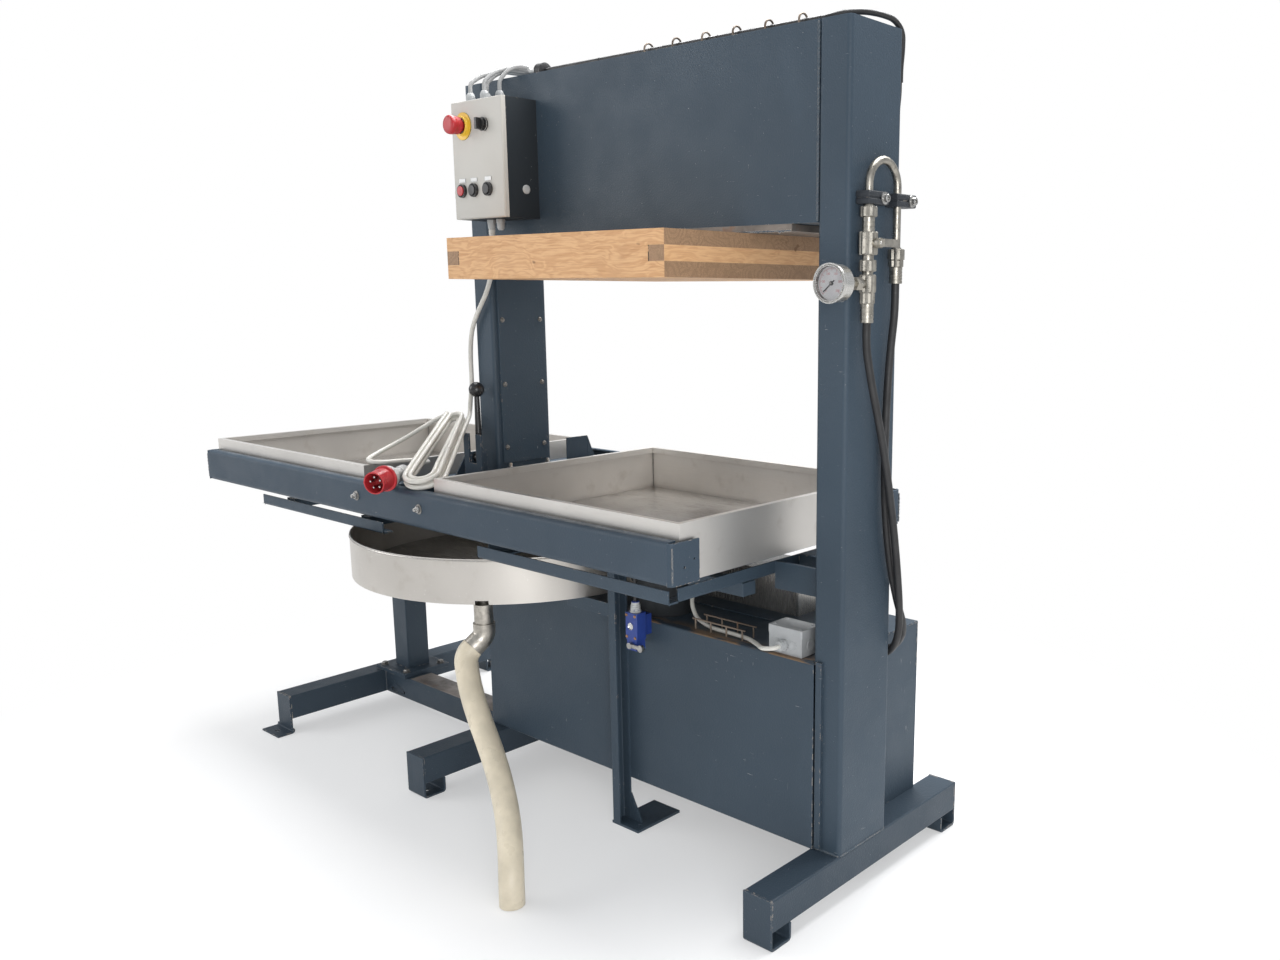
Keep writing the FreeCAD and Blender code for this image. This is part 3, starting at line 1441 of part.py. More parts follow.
# The two hydraulic hoses, from their ferrules to the casing's end sheet
left_hose_route = [(0, left_leg_y, 0), (0, left_leg_y, -45), (4, -38, -105), (8, -22, -165),
                   (11, 0, -240), (12, 20, -320), (12, 40, -405), (11, 57, -490), (8, 72, -565),
                   (0, 85, -618), (-16, 96, -655), (-40, 105, -678)]
right_hose_route = [(0, right_leg_y, 0), (0, right_leg_y, -55), (-6, 40, -125), (-8, 35, -205),
                    (-8.5, 32, -300), (-8.5, 34, -395), (-8.5, 45, -485), (-9, 66, -570), (-10, 92, -635),
                    (-13, 118, -680), (-24, 137, -714), (-44, 149, -740)]
hose_end_z = 474.0


def make_hydraulic_hoses():
    """Two black hoses that cross beside the column and pass behind it into the casing."""
    solids = []
    for route, start, y in ((left_hose_route, left_ferrule_bottom, 108.0),
                            (right_hose_route, right_ferrule_bottom, 152.0)):
        points = [(pipe_x + dx, py, start + dz) for dx, py, dz in route]
        points.append((panel_right + seat_gap + 18, y, hose_end_z))
        points.append((panel_right + seat_gap, y, hose_end_z))
        solids.append(tube(points, hose_radius, "hydraulic hose"))
    return solids


# The supply cord, its hank on the lock lever, and its plug

cord_split_z = 1004.0
knot = (-185.0, -130.0, 897.0)
hank_end = (-32.0, -322.0, 797.0)
plug_radius = 27.5
plug_back = (-121.6, -318.4, rail_top + plug_radius + 2.2)
plug_axis = (0.44, -0.9, -0.09)


def make_cord_upper():
    """The supply cord from the box's gland down the left column's edge."""
    x = box_x0 + gland_bottom_places[0][0]
    y = beam_front - gland_bottom_places[0][1]
    z = box_bottom - gland_length
    route = [(x, y, z), (x, y, z - 34), (x - 16, y + 9, z - 70), (x - 41, y + 21, z - 104),
             (x - 72, y + 29, z - 142), (x - 102, y + 30, z - 176), (x - 128, y + 30, z - 210),
             (x - 143, y + 30, z - 245), (x - 149, y + 30, z - 290), (x - 149, y + 30, cord_split_z)]
    return tube(route, cord_radius, "supply cord, upper")


hank_runs = 8
hank_pitch = 11.8
hank_first = 8.0
hank_spread = 3.5
hank_layer_gap = 12.4


def hank_frame():
    """The hank's own axes: along from the knot to its end, across, and its thickness."""
    start = V(*knot)
    along = (V(*hank_end) - start).normalize()
    across = V(0.62, 0.33, 0.0)
    across = (across - along * across.dot(along)).normalize()
    thick = along.cross(across).normalize()
    return start, along, across, thick


def climbing_run(a, b, w0, w1, at):
    """A run that rises by a layer, with one tangent arc at each end of its slope."""
    span = math.hypot(b[0] - a[0], b[1] - a[1])
    cu = (b[0] - a[0]) / span
    cv = (b[1] - a[1]) / span
    third = span / 3
    angle = math.atan((w1 - w0) / (span - third))
    reach = third / 2
    radius = reach / math.tan(angle / 2)
    side = radius * math.sin(angle / 2)
    sag = radius * (1 - math.cos(angle / 2))
    step = reach * math.cos(angle)
    rise = reach * math.sin(angle)
    first = third / 2
    second = span - third / 2

    def p3(t, w):
        return at(a[0] + cu * t, a[1] + cv * t, w)

    bend = Part.Arc(p3(first - reach, w0), p3(first - reach + side, w0 + sag),
                    p3(first + step, w0 + rise)).toShape()
    slope = Part.LineSegment(p3(first + step, w0 + rise), p3(second - step, w1 - rise)).toShape()
    back = Part.Arc(p3(second - step, w1 - rise), p3(second + reach - side, w1 - sag),
                    p3(second + reach, w1)).toShape()
    return [bend, slope, back]


def make_cord_hank():
    """The wound cord: loops that spiral inwards in one layer and back out in the next.

    The loops are a belt round two circles, narrow at the knot and wide at the far end."""
    start, along, across, thick = hank_frame()
    length = (V(*hank_end) - start).Length
    sin_t = math.sin(math.radians(hank_spread))
    cos_t = math.cos(math.radians(hank_spread))
    middle = hank_runs // 2
    offsets = [hank_first + abs(middle - i) / 2 * hank_pitch for i in range(hank_runs)]
    sides = [1 if i % 2 == 0 else -1 for i in range(hank_runs)]
    heights = [0.0 if i < middle else hank_layer_gap for i in range(hank_runs)]

    def at(u, v, w):
        return start + along * u + across * v + thick * w

    def circle(i):
        """The belt's circle between run i and the next: its place, shift and radius."""
        u = length if sides[i] > 0 else 0.0
        shift = sides[i] * (offsets[i] - offsets[i + 1]) / (2 * cos_t)
        return u, shift, (offsets[i] + offsets[i + 1]) / 2 + u * sin_t

    def touch(c, side):
        u, shift, radius = c
        return (u - radius * sin_t, shift + side * radius * cos_t)

    edges = []
    a = (-offsets[0] * sin_t, offsets[0] * cos_t)
    for i in range(hank_runs):
        last = i == hank_runs - 1
        end_circle = None if last else circle(i)
        b = (-offsets[i] * sin_t, -offsets[i] * cos_t) if last else touch(end_circle, sides[i])
        w = heights[i]
        if i == middle:
            edges += climbing_run(a, b, 0.0, w, at)
        else:
            edges.append(Part.LineSegment(at(*a, w), at(*b, w)).toShape())
        if last:
            break
        u, shift, radius = end_circle
        a = touch(end_circle, -sides[i])
        crown = (u + radius, shift) if sides[i] > 0 else (u - radius, shift)
        edges.append(Part.Arc(at(*b, w), at(*crown, w), at(*a, w)).toShape())
    wire = Part.Wire(edges)
    begin = edges[0].valueAt(edges[0].FirstParameter)
    second = edges[0].valueAt(edges[0].LastParameter)
    profile = Part.Wire(Part.makeCircle(cord_radius, begin, second - begin))
    shell = wire.makePipeShell([profile], True, False)
    samples = wire.discretize(Number=900)
    skip = int(60 / (wire.Length / 899))
    gap = min((samples[i] - samples[j]).Length for i in range(len(samples))
              for j in range(i + skip, len(samples)))
    print(f"cord hank: length {wire.Length:.0f}, least gap {gap - 2 * cord_radius:.2f}, volume ratio "
          f"{shell.Volume / (math.pi * cord_radius ** 2 * wire.Length):.4f}")
    finish = edges[-1].valueAt(edges[-1].LastParameter)
    before = edges[-1].valueAt(edges[-1].FirstParameter)
    return shell, (begin, (second - begin).normalize()), (finish, (finish - before).normalize())


def make_cord_lower(entry):
    """The cord's stretch from the split down into the hank."""
    place, heading = entry
    x = box_x0 + gland_bottom_places[0][0] - 149
    y = beam_front - gland_bottom_places[0][1] + 30
    z = cord_split_z - seat_gap
    route = [(x, y, z), (x, y, z - 19), (x - 17, y + 6.5, z - 49), (x - 30, y + 12.5, z - 79),
             tuple(place - heading * 28), tuple(place - heading * seat_gap)]
    return tube(route, cord_radius, "supply cord, lower")


def make_cord_tail(leaving):
    """The cord's last stretch: one wide loop over the left tray and back to the plug."""
    place, heading = leaving
    axis = V(*plug_axis).normalize()
    route = [tuple(place + heading * seat_gap), tuple(place + heading * 24), (-246, -112, 908),
             (-276, -122, 895), (-300, -152, 872), (-314, -194, 848), (-320, -240, 829),
             (-314, -284, 815), (-290, -314, 809.5), (-258, -318, 809), (-238, -294, 808),
             (-235, -252, 807), (-225, -223, 806.5), (-198.4, -209, 806), (-170, -219, 805.5),
             tuple(V(*plug_back) - axis * 53), tuple(V(*plug_back) - axis * seat_gap)]
    return tube(route, cord_radius, "supply cord, tail")


def make_plug():
    """The plug: a grey body with its cord nut, a red shroud with a flange, and five pins."""
    axis = V(*plug_axis).normalize()
    base = V(*plug_back)

    def at(t):
        return base + axis * t

    def disc(t, radius):
        return Part.Wire(Part.makeCircle(radius, at(t), axis))

    nut = Part.makeCylinder(14.0, 22, at(0), axis)
    neck = Part.makeLoft([disc(22, 11.5), disc(38, 12.5)], True)
    bell = Part.makeLoft([disc(38, 12.5), disc(62, 26.0)], True)
    rim = Part.makeCylinder(26.0, 14, at(62), axis)
    body = nut.fuse(neck).fuse(bell).fuse(rim)
    flange = Part.makeCylinder(plug_radius + 2.5, 6, at(76), axis)
    shroud = Part.makeCylinder(plug_radius - 2, 48, at(76), axis).fuse(flange)
    shroud = shroud.cut(Part.makeCylinder(plug_radius - 5, 42, at(84), axis))
    side = V(-axis.y, axis.x, 0).normalize()
    up = axis.cross(side) * -1
    pins = []
    for i in range(5):
        angle = math.radians(90 + 72 * i)
        centre = at(84) + side * (13 * math.cos(angle)) + up * (13 * math.sin(angle))
        pins.append(Part.makeCylinder(3.0, 34, centre, axis))
    return body, shroud, pins


def make_frame_bolts():
    """The bolts that hold the cover, the collar and the left post's plate."""
    solids = []
    face = swivel_x + column_width / 2 + plate_5
    for y, z in cover_screw_places():
        solids.append(hexagon(10.0, (face, y, z), (1, 0, 0), 5.0))
    top = collar_bottom + collar_thickness
    for bx, by in collar_bolt_places():
        solids.append(hexagon(17.0, (bx, by, top), (0, 0, 1), 10.0).fuse(
            cylinder(5.0, (bx, by, top), (0, 0, 1), 22.0)))
    plate_top = foot_top + post_plate_thickness
    for bx, by in post_bolt_places():
        solids.append(hexagon(16.0, (bx, by, plate_top), (0, 0, 1), 8.0).fuse(
            cylinder(4.9, (bx, by, plate_top), (0, 0, -1), post_plate_thickness)))
    return solids


def make_all():
    os.makedirs("parts", exist_ok=True)
    save("right_column", tube_column(column_x))
    save("left_column", make_left_column())
    save("column_cover", make_column_cover())
    save("frame_bolts", *make_frame_bolts())
    save("crossbeam", make_crossbeam())
    save("counter_plate", make_counter_plate())
    save("block_outer_layers", *make_block_outer())
    save("block_middle_layer", *make_block_middle())
    save("feet", *make_foot_beams(), *make_foot_brackets())
    save("left_post", *make_left_post())
    save("left_rest", *make_left_rest())
    save("support_post", make_support_post(), *make_pan_arms())
    save("rest_frame", *make_rest_frame())
    save("casing", *make_casing(), *make_deck())
    save("lower_beam", *make_lower_beam())
    save("cylinder_barrel", make_barrel())
    save("ram", *make_ram())
    save("power_unit_cover", make_power_cover())
    save("power_unit", *make_power_unit())
    save("junction_box", *make_junction_box())
    save("deck_cable", make_deck_cable())
    save("juice_pan", make_juice_pan())
    save("drain_pipe", *make_drain_pipe())
    save("drain_hose", make_drain_hose())
    save("swivel_bearing", *make_swivel_bearing())
    save("table_hub", make_table_hub())
    save("table_crossbeams", *make_table_crossbeams())
    save("table_rails", *make_table_rails())
    save("rail_bolts", *make_rail_bolts())
    save("left_tray", make_tray(-1))
    save("right_tray", make_tray(1))
    save("lever_bracket", *make_lever_bracket())
    save("lock_lever", *make_lock_lever())
    save("lock_bolt", make_lock_bolt())
    save("control_box", *make_control_box())
    save("control_door", make_control_door())
    save("door_fittings", *make_door_fittings())
    save("estop_button", make_estop())
    save("selector_knob", make_selector())
    for name, place in zip(("red_button", "black_button_left", "black_button_right"), button_places):
        save(name, make_button(place))
    save("cable_glands", *make_cable_glands())
    save("cables", *make_cables())
    save("cable_wires", *make_cable_hoops(), make_cable_basket())
    save("limit_switch", *make_limit_switch())
    save("switch_lever", make_switch_lever())
    save("steel_pipe", make_steel_pipe())
    save("pipe_clamps", *make_pipe_clamps())
    save("hydraulic_fittings", *make_fittings())
    save("valve_handle", make_valve_handle())
    save("pressure_gauge", make_gauge_case(), make_gauge_dial())
    save("gauge_needle", make_gauge_needle())
    save("gauge_glass", make_gauge_glass())
    save("hydraulic_hoses", *make_hydraulic_hoses())
    save("supply_cord", make_cord_upper())
    hank, entry, leaving = make_cord_hank()
    save("cord_hank", hank)
    save("cord_ends", make_cord_lower(entry), make_cord_tail(leaving))
    body, shroud, pins = make_plug()
    save("plug_body", body)
    save("plug_shroud", shroud, *pins)


make_all()
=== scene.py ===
import math
import random

import bmesh
import bpy
from mathutils import Matrix, Vector


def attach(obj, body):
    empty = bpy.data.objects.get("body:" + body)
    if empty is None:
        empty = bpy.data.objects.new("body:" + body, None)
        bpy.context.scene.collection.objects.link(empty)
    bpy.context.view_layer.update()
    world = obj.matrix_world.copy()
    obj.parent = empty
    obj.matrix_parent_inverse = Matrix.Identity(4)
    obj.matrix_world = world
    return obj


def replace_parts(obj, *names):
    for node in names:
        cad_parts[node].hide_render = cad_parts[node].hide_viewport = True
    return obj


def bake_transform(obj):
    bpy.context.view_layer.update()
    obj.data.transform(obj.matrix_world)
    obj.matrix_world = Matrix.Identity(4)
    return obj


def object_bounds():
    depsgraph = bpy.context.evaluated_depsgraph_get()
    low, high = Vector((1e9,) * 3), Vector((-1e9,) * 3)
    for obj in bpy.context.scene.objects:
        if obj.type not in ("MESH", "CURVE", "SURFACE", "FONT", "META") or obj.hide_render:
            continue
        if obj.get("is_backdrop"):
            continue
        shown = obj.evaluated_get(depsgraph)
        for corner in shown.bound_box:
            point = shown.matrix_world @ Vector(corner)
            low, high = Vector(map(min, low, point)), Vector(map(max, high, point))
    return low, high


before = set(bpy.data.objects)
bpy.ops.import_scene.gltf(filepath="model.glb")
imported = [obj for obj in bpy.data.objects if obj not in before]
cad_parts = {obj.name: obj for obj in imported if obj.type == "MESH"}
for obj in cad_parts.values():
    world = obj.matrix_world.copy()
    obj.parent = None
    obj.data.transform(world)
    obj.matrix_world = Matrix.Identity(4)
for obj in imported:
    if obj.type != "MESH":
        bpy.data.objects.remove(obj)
cad_low, cad_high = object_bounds()


# Columns and crossbeam
# The portal is folded and welded from thick sheet. It is sprayed with a dark
# blue grey powder coat that has chipped along its edges and over the welds.

def at(x, y, z):
    """A place on the press, given in millimetres."""
    return Vector((x, y, z)) * 0.001


class Finish:
    """A finish as a tree of shader nodes. Its patterns lie in the press's own metres."""

    def __init__(self, name, roughness=0.5, metal=0.0):
        self.material = bpy.data.materials.new(name)
        self.material.use_nodes = True
        self.tree = self.material.node_tree
        self.shader = self.tree.nodes["Principled BSDF"]
        self.shader.inputs["Roughness"].default_value = roughness
        self.shader.inputs["Metallic"].default_value = metal
        self.place = self.node("TexCoord").outputs["Object"]

    def node(self, kind, inputs=(), **settings):
        """One shader node with its settings, its values and what is plugged into it."""
        made = self.tree.nodes.new("ShaderNode" + kind)
        for key, value in settings.items():
            setattr(made, key, value)
        for key, value in dict(inputs).items():
            if isinstance(value, bpy.types.NodeSocket):
                self.tree.links.new(value, made.inputs[key])
            else:
                made.inputs[key].default_value = value
        return made

    def calc(self, operation, a, b=0.0):
        """One sum on two values."""
        return self.node("Math", {0: a, 1: b}, operation=operation).outputs[0]

    def times(self, a, b):
        return self.calc("MULTIPLY", a, b)

    def split(self, vector):
        """The X, Y and Z of a vector."""
        return self.node("SeparateXYZ", {0: vector}).outputs

    def facing(self):
        """The X, Y and Z of the way that the surface faces."""
        return self.split(self.node("NewGeometry").outputs["Normal"])

    def grain(self, scale, stretch=(1.0, 1.0, 1.0), detail=3.0, shift=0.0, place=None):
        """Cloudy noise with so many features a metre, drawn out along an axis if need be."""
        moved = self.node("Mapping", {
            "Vector": place or self.place, "Scale": stretch, "Location": (shift, 1.7 * shift, 0.6 * shift)})
        return self.node("TexNoise", {"Vector": moved.outputs[0], "Scale": scale, "Detail": detail,
                                                "Roughness": 0.55}).outputs["Fac"]

    def between(self, value, low, high, first=0.0, last=1.0):
        """Turns a value between low and high into one between first and last."""
        return self.node("MapRange", {"Value": value, "From Min": low, "From Max": high, "To Min": first,
                                                "To Max": last}, interpolation_type="SMOOTHSTEP").outputs["Result"]

    def patches(self, span, *noise, **settings):
        """Grain turned into patches: span holds its low, high, first and last value."""
        return self.between(self.grain(*noise, **settings), *span)

    def tint(self, share, first, second):
        """The first colour where the share is 0, the second where it is 1."""
        colours = [c if isinstance(c, bpy.types.NodeSocket) else (*c, 1.0) for c in (first, second)]
        return self.node("Mix", {0: share, 6: colours[0], 7: colours[1]}, data_type="RGBA").outputs[2]

    def edges(self, radius):
        """1 along the edges of a piece, and 0 on its flats."""
        soft = self.node("Bevel", {"Radius": radius}, samples=4)
        true = self.node("NewGeometry")
        dot = self.node("VectorMath", {0: soft.outputs[0], 1: true.outputs["Normal"]},
                        operation="DOT_PRODUCT")
        return self.between(dot.outputs["Value"], 0.995, 0.90)

    def put(self, colour=None, roughness=None, height=None, depth=0.0002):
        """Plugs colour, roughness and relief into the shader, and gives the material."""
        if height is not None:
            height = self.node("Bump", {"Height": height, "Distance": depth, "Strength": 1.0}).outputs[0]
        for socket, value in (("Base Color", colour), ("Roughness", roughness), ("Normal", height)):
            if value is not None:
                self.tree.links.new(value, self.shader.inputs[socket])
        return self.material


def shade(colour, factor, lift=0.0):
    """A colour made lighter or darker."""
    return tuple(min(1.0, factor * c + lift) for c in colour)


def painted_steel(name, colour, wear=0.5, peel=0.0008, worn_through=None):
    """Powder coat: cloudy, with orange peel, specks, fine scratches, chipped edges and a painted highlight along
    its edges.
    """
    f = Finish(name, 0.45)
    f.shader.inputs["Specular IOR Level"].default_value = 0.24
    base = f.tint(f.patches((0.25, 0.75), 2.2, detail=2.0), shade(colour, 0.92), shade(colour, 1.08, 0.002))
    rub = f.patches((0.60, 0.80, 0.0, 0.22), 9.0, (1.0, 1.0, 0.35), 5.0, 3.1)
    base = f.tint(rub, base, shade(colour, 1.5, 0.006))
    specks = f.patches((0.79, 0.815), 260.0, detail=1.0, shift=5.0)
    upright = f.patches((0.735, 0.76), 34.0, (1.0, 1.0, 14.0), 2.0, 7.0)
    level = f.patches((0.745, 0.77), 30.0, (9.0, 9.0, 1.0), 2.0, 11.0)
    gate = f.patches((0.54, 0.62), 7.0, detail=2.0, shift=2.0)
    marks = f.calc("MAXIMUM", specks, f.times(f.calc("MAXIMUM", upright, level), gate))
    edge = f.edges(0.0022)
    ragged = f.patches((0.60 - 0.12 * wear, 0.66 - 0.12 * wear), 95.0, detail=5.0, shift=9.0)
    patch = f.patches((0.58 - 0.16 * wear, 0.66 - 0.16 * wear), 6.0, detail=3.0, shift=4.0)
    chips = f.times(f.times(edge, ragged), patch)
    # Painted highlight: every edge is lightened a little, as if it caught the light.
    base = f.tint(f.times(edge, 0.22), base, tuple(2.2 * c + 0.03 for c in colour))
    base = f.tint(f.times(marks, 0.6), base, (0.42, 0.43, 0.43))
    base = f.tint(chips, base, (0.46, 0.40, 0.34))
    if worn_through:
        base = worn_through(f, base)
    rough = f.patches((0.3, 0.7, 0.40, 0.50), 18.0, detail=4.0)
    height = f.calc("SUBTRACT", f.grain(290.0, detail=2.0), f.times(chips, 1.4))
    return f.put(base, rough, height, peel)


def wear_node(name, finish, rounding=0.0):
    """Gives a carried-over node its finish, and rounds its sharp edges a little."""
    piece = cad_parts[name]
    piece.data.materials.clear()
    piece.data.materials.append(finish)
    if rounding:
        weld = piece.modifiers.new("weld", "WELD")
        weld.merge_threshold = 0.00002
        soft = piece.modifiers.new("rounding", "BEVEL")
        soft.width = rounding * 0.001
        soft.segments = 2
        soft.limit_method = "ANGLE"
        soft.angle_limit = math.radians(40)
        soft.use_clamp_overlap = True
    return piece


blue_grey = (0.040, 0.060, 0.082)
frame_paint = painted_steel("frame paint", blue_grey, 0.45)
for name in ("right_column", "left_column", "crossbeam"):
    wear_node(name, frame_paint)
wear_node("column_cover", frame_paint, 0.8)


def stand(name, data):
    """Puts a mesh, curve, lamp or camera into the scene."""
    made = bpy.data.objects.new(name, data)
    bpy.context.scene.collection.objects.link(made)
    return made


def shaped(name, finish, work, smooth):
    """A mesh piece with round faces shaded smooth up to so many degrees, and its edges kept sharp."""
    mesh = bpy.data.meshes.new(name)
    work.to_mesh(mesh)
    work.free()
    mesh.materials.append(finish)
    if smooth:
        mesh.shade_smooth()
        mesh.set_sharp_from_angle(angle=math.radians(smooth))
    return stand(name, mesh)


def solid(name, finish, verts, faces, smooth=35):
    """A piece from its corners and faces."""
    mesh = bpy.data.meshes.new(name)
    mesh.from_pydata([tuple(v) for v in verts], [], faces)
    work = bmesh.new()
    work.from_mesh(mesh)
    bmesh.ops.remove_doubles(work, verts=work.verts, dist=1e-6)
    bmesh.ops.recalc_face_normals(work, faces=work.faces)
    return shaped(name, finish, work, smooth)


def skinned(name, finish, rings, smooth, capped=True):
    """A skin drawn over rings of points, where a ring of one point is a tip."""
    verts, faces, rows = [], [], []
    for ring in rings:
        rows.append(range(len(verts), len(verts) + len(ring)))
        verts += ring
    for a, b in zip(rows, rows[1:]):
        count = max(len(a), len(b))
        for k in range(count if count > 1 else 0):
            n = (k + 1) % count
            near = (a[0],) if len(a) == 1 else (a[k], a[n])
            far = (b[0],) if len(b) == 1 else (b[n], b[k])
            faces.append(near + far)
    if capped:
        faces += [tuple(row) for row in (rows[0], rows[-1]) if len(row) > 1]
    return solid(name, finish, verts, faces, smooth)


def circle(centre, side, up, radius, count, turn=0.0):
    """Points round a centre in metres, at a radius in millimetres."""
    angles = [2 * math.pi * k / count + turn for k in range(count)]
    return [centre + (side * math.cos(a) + up * math.sin(a)) * radius * 0.001 for a in angles]


ripple_pitch = 0.0026


def weld_bead(name, finish, start, end, radius, seed):
    """A hand-laid weld: a rippled bead along a seam, thicker and thinner by turns."""
    chance = random.Random(seed)
    first, last = at(*start), at(*end)
    along = (last - first).normalized()
    side = along.orthogonal().normalized()
    up = along.cross(side)
    length = (last - first).length
    steps = max(8, int(length / ripple_pitch))
    rings = []
    for i in range(steps + 1):
        swell = 1.0 + 0.22 * math.sin(i * 1.9) + chance.uniform(-0.16, 0.16)
        if i in (0, steps):
            swell = 0.3
        centre = first + along * (length * i / steps) + side * chance.uniform(-0.0003, 0.0003)
        rings.append(circle(centre, side, up, radius * swell, 8))
    return skinned(name, finish, rings, 80)


weld_paint = painted_steel("paint over welds", (0.060, 0.080, 0.100), 1.6, 0.0005)
beam_low, beam_high, foot_top = 1342, 1688, 106.5
seams = {}
for side, y in (("front", -81.5), ("rear", 81.5)):
    for end, x, radius in (("right", 904, 2.6), ("left", -79, 2.2)):
        seams[f"beam_seam_{side}_{end}"] = (x, y, beam_low), (x, y, beam_high), radius
for name, start, end in (("front", (908, -82, foot_top), (972, -82, foot_top)),
                         ("outside", (974.5, -78, foot_top), (974.5, 78, foot_top)),
                         ("rear", (908, 82, foot_top), (972, 82, foot_top))):
    seams["right_foot_seam_" + name] = start, end, 2.4 if name == "outside" else 2.8
for name, start, end in (("front", (-147, -82, foot_top), (-83, -82, foot_top)),
                         ("rear", (-147, 82, foot_top), (-83, 82, foot_top)),
                         ("outside", (-150, -78, foot_top), (-150, 78, foot_top))):
    seams["left_foot_seam_" + name] = start, end, 2.4 if name == "outside" else 2.8
seams["base_seam_left_top"] = (-728, -42, 104.8), (-728, 22, 104.8), 2.2
for end, x in (("left", -727.5), ("right", -150.5)):
    seams[f"base_seam_{end}_front"] = (x, -44.5, 40), (x, -44.5, 103), 2.2
for count, (seam, (start, end, radius)) in enumerate(seams.items()):
    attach(weld_bead(seam, weld_paint, start, end, radius, count), "frame")


# Counter block
# Three layers of beech boards, glued and lipped all round, on a thick steel
# plate that is torch cut and left bare. The racks are pressed against it.

block_centre_x = 0.410
block_strip = 0.2875
lip_inner_face = 0.2698
layer_thickness = 0.0286


def beech(name, lips_only=False):
    """Planed beech: flecks and growth rings drawn out along each board, and end grain on its ends.

    The outer layers run along the press; in the middle layer only the front and rear lips do."""
    f = Finish(name)
    f.shader.inputs["Specular IOR Level"].default_value = 0.3
    where, face = f.split(f.place), f.facing()
    lip = f.calc("GREATER_THAN", f.calc("ABSOLUTE", where["Y"]), lip_inner_face)
    from_middle = f.calc("ABSOLUTE", f.calc("SUBTRACT", where["X"], block_centre_x))
    if lips_only:
        lip = f.times(lip, f.calc("LESS_THAN", from_middle, block_strip))
    layer = f.calc("FLOOR", f.calc("DIVIDE", where["Z"], layer_thickness))
    looks = []
    for along, across, width in (("X", "Y", 0.62 / 6), ("Y", "X", 0.575 / 6)):
        board = f.calc("FLOOR", f.calc("DIVIDE", f.calc("ADD", where[across], 0.62), width))
        number = f.calc("ADD", f.times(board, 7.31), f.times(layer, 3.77))
        if along == "X":
            number = f.times(number, f.calc("SUBTRACT", 1.0, lip))
        offset = f.node("CombineXYZ", {0: number, 1: number, 2: number}).outputs[0]
        shifted = f.node("VectorMath", {0: f.place, 1: offset}, operation="ADD").outputs[0]
        drawn, thin = [(share, 1.0, 1.0) if along == "X" else (1.0, share, 1.0) for share in (0.09, 0.04)]
        wave = f.node("VectorMath", {
            0: shifted, 1: f.times(f.grain(9.0, detail=2.0, place=shifted), 0.05)}, operation="ADD").outputs[0]
        rings = f.grain(36.0, drawn, 3.0, place=wave)
        swirl = f.between(f.calc("PINGPONG", f.times(rings, 15.0), 1.0), 0.1, 0.9)
        fine = f.grain(750.0, thin, 3.0, place=shifted)
        colour = f.tint(swirl, (0.64, 0.385, 0.195), (0.53, 0.295, 0.138))
        broad = f.patches((0.35, 0.7, 0.0, 0.35), 11.0, drawn, 4.0, 5.0, place=shifted)
        colour = f.tint(broad, colour, (0.70, 0.43, 0.225))
        colour = f.tint(f.between(fine, 0.50, 0.72, 0.0, 0.55), colour, (0.34, 0.17, 0.075))
        tone = f.node("TexWhiteNoise", {"W": number}, noise_dimensions="1D").outputs["Value"]
        colour = f.tint(f.times(tone, 0.22), colour, (0.50, 0.28, 0.14))
        cut = f.tint(f.between(fine, 0.40, 0.68), (0.31, 0.195, 0.115), (0.20, 0.12, 0.07))
        arcs = f.calc("PINGPONG", f.times(f.grain(14.0, detail=1.0, place=shifted), 26.0), 1.0)
        cut = f.tint(f.between(arcs, 0.3, 1.0, 0.0, 0.45), cut, (0.17, 0.105, 0.062))
        end = f.times(f.calc("POWER", face[along], 2.0), 0.92)
        looks.append((f.tint(end, colour, cut), swirl, fine))
    (colour, swirl, fine), across_look = looks
    colour = f.tint(f.calc("SUBTRACT", 1.0, lip) if lips_only else 0.0, colour, across_look[0])
    knots = f.patches((0.74, 0.775, 0.0, 0.75), 34.0, (0.7, 1.0, 1.0), 1.0, 13.0)
    colour = f.tint(knots, colour, (0.15, 0.075, 0.035))
    stain = f.patches((0.54, 0.78, 0.0, 0.22), 7.0, detail=5.0, shift=1.0)
    colour = f.tint(stain, colour, (0.40, 0.26, 0.15))
    if lips_only:
        joint = f.between(f.calc("ABSOLUTE", f.calc("SUBTRACT", from_middle, block_strip)), 0.0016, 0.0008)
        joint = f.times(joint, f.calc("POWER", face["Y"], 2.0))
        ragged = f.patches((0.38, 0.5), 120.0, detail=3.0, shift=3.0)
        colour = f.tint(f.times(joint, ragged), colour, (0.03, 0.018, 0.01))
    return f.put(colour, f.between(fine, 0.3, 0.7, 0.46, 0.62), f.calc("ADD", fine, f.times(swirl, 0.12)), 0.0003)


wear_node("block_outer_layers", beech("beech boards"))
wear_node("block_middle_layer", beech("beech boards of the middle layer", True))


def bare_steel(name, colour=(0.20, 0.175, 0.155), rust=0.5):
    """Rolled steel left bare: brown mill scale, scuffed, with a little rust."""
    f = Finish(name, 0.5, 0.55)
    colour = f.tint(f.patches((0.35, 0.66), 11.0, detail=6.0), colour, shade(colour, 0.55))
    scuff = f.patches((0.60, 0.72, 0.0, 0.5), 40.0, (0.25, 1.0, 1.0), 3.0, 3.0)
    colour = f.tint(scuff, colour, (0.36, 0.33, 0.30))
    bloom = f.patches((0.60, 0.72, 0.0, rust), 28.0, detail=5.0, shift=8.0)
    colour = f.tint(bloom, colour, (0.22, 0.10, 0.045))
    rough = f.patches((0.3, 0.7, 0.38, 0.62), 60.0, detail=4.0)
    return f.put(colour, rough, f.grain(420.0, detail=4.0), 0.00025)


mill_steel = bare_steel("bare mill steel")
wear_node("counter_plate", mill_steel, 1.2)


def together(name, parts):
    """Joins several meshes into one piece."""
    first = parts[0]
    for other in parts[1:]:
        for slot in other.data.materials:
            if slot.name not in [m.name for m in first.data.materials]:
                first.data.materials.append(slot)
    with bpy.context.temp_override(active_object=first, object=first,
                                   selected_objects=parts, selected_editable_objects=parts):
        bpy.ops.object.join()
    first.name = name
    first.data.name = name
    return first


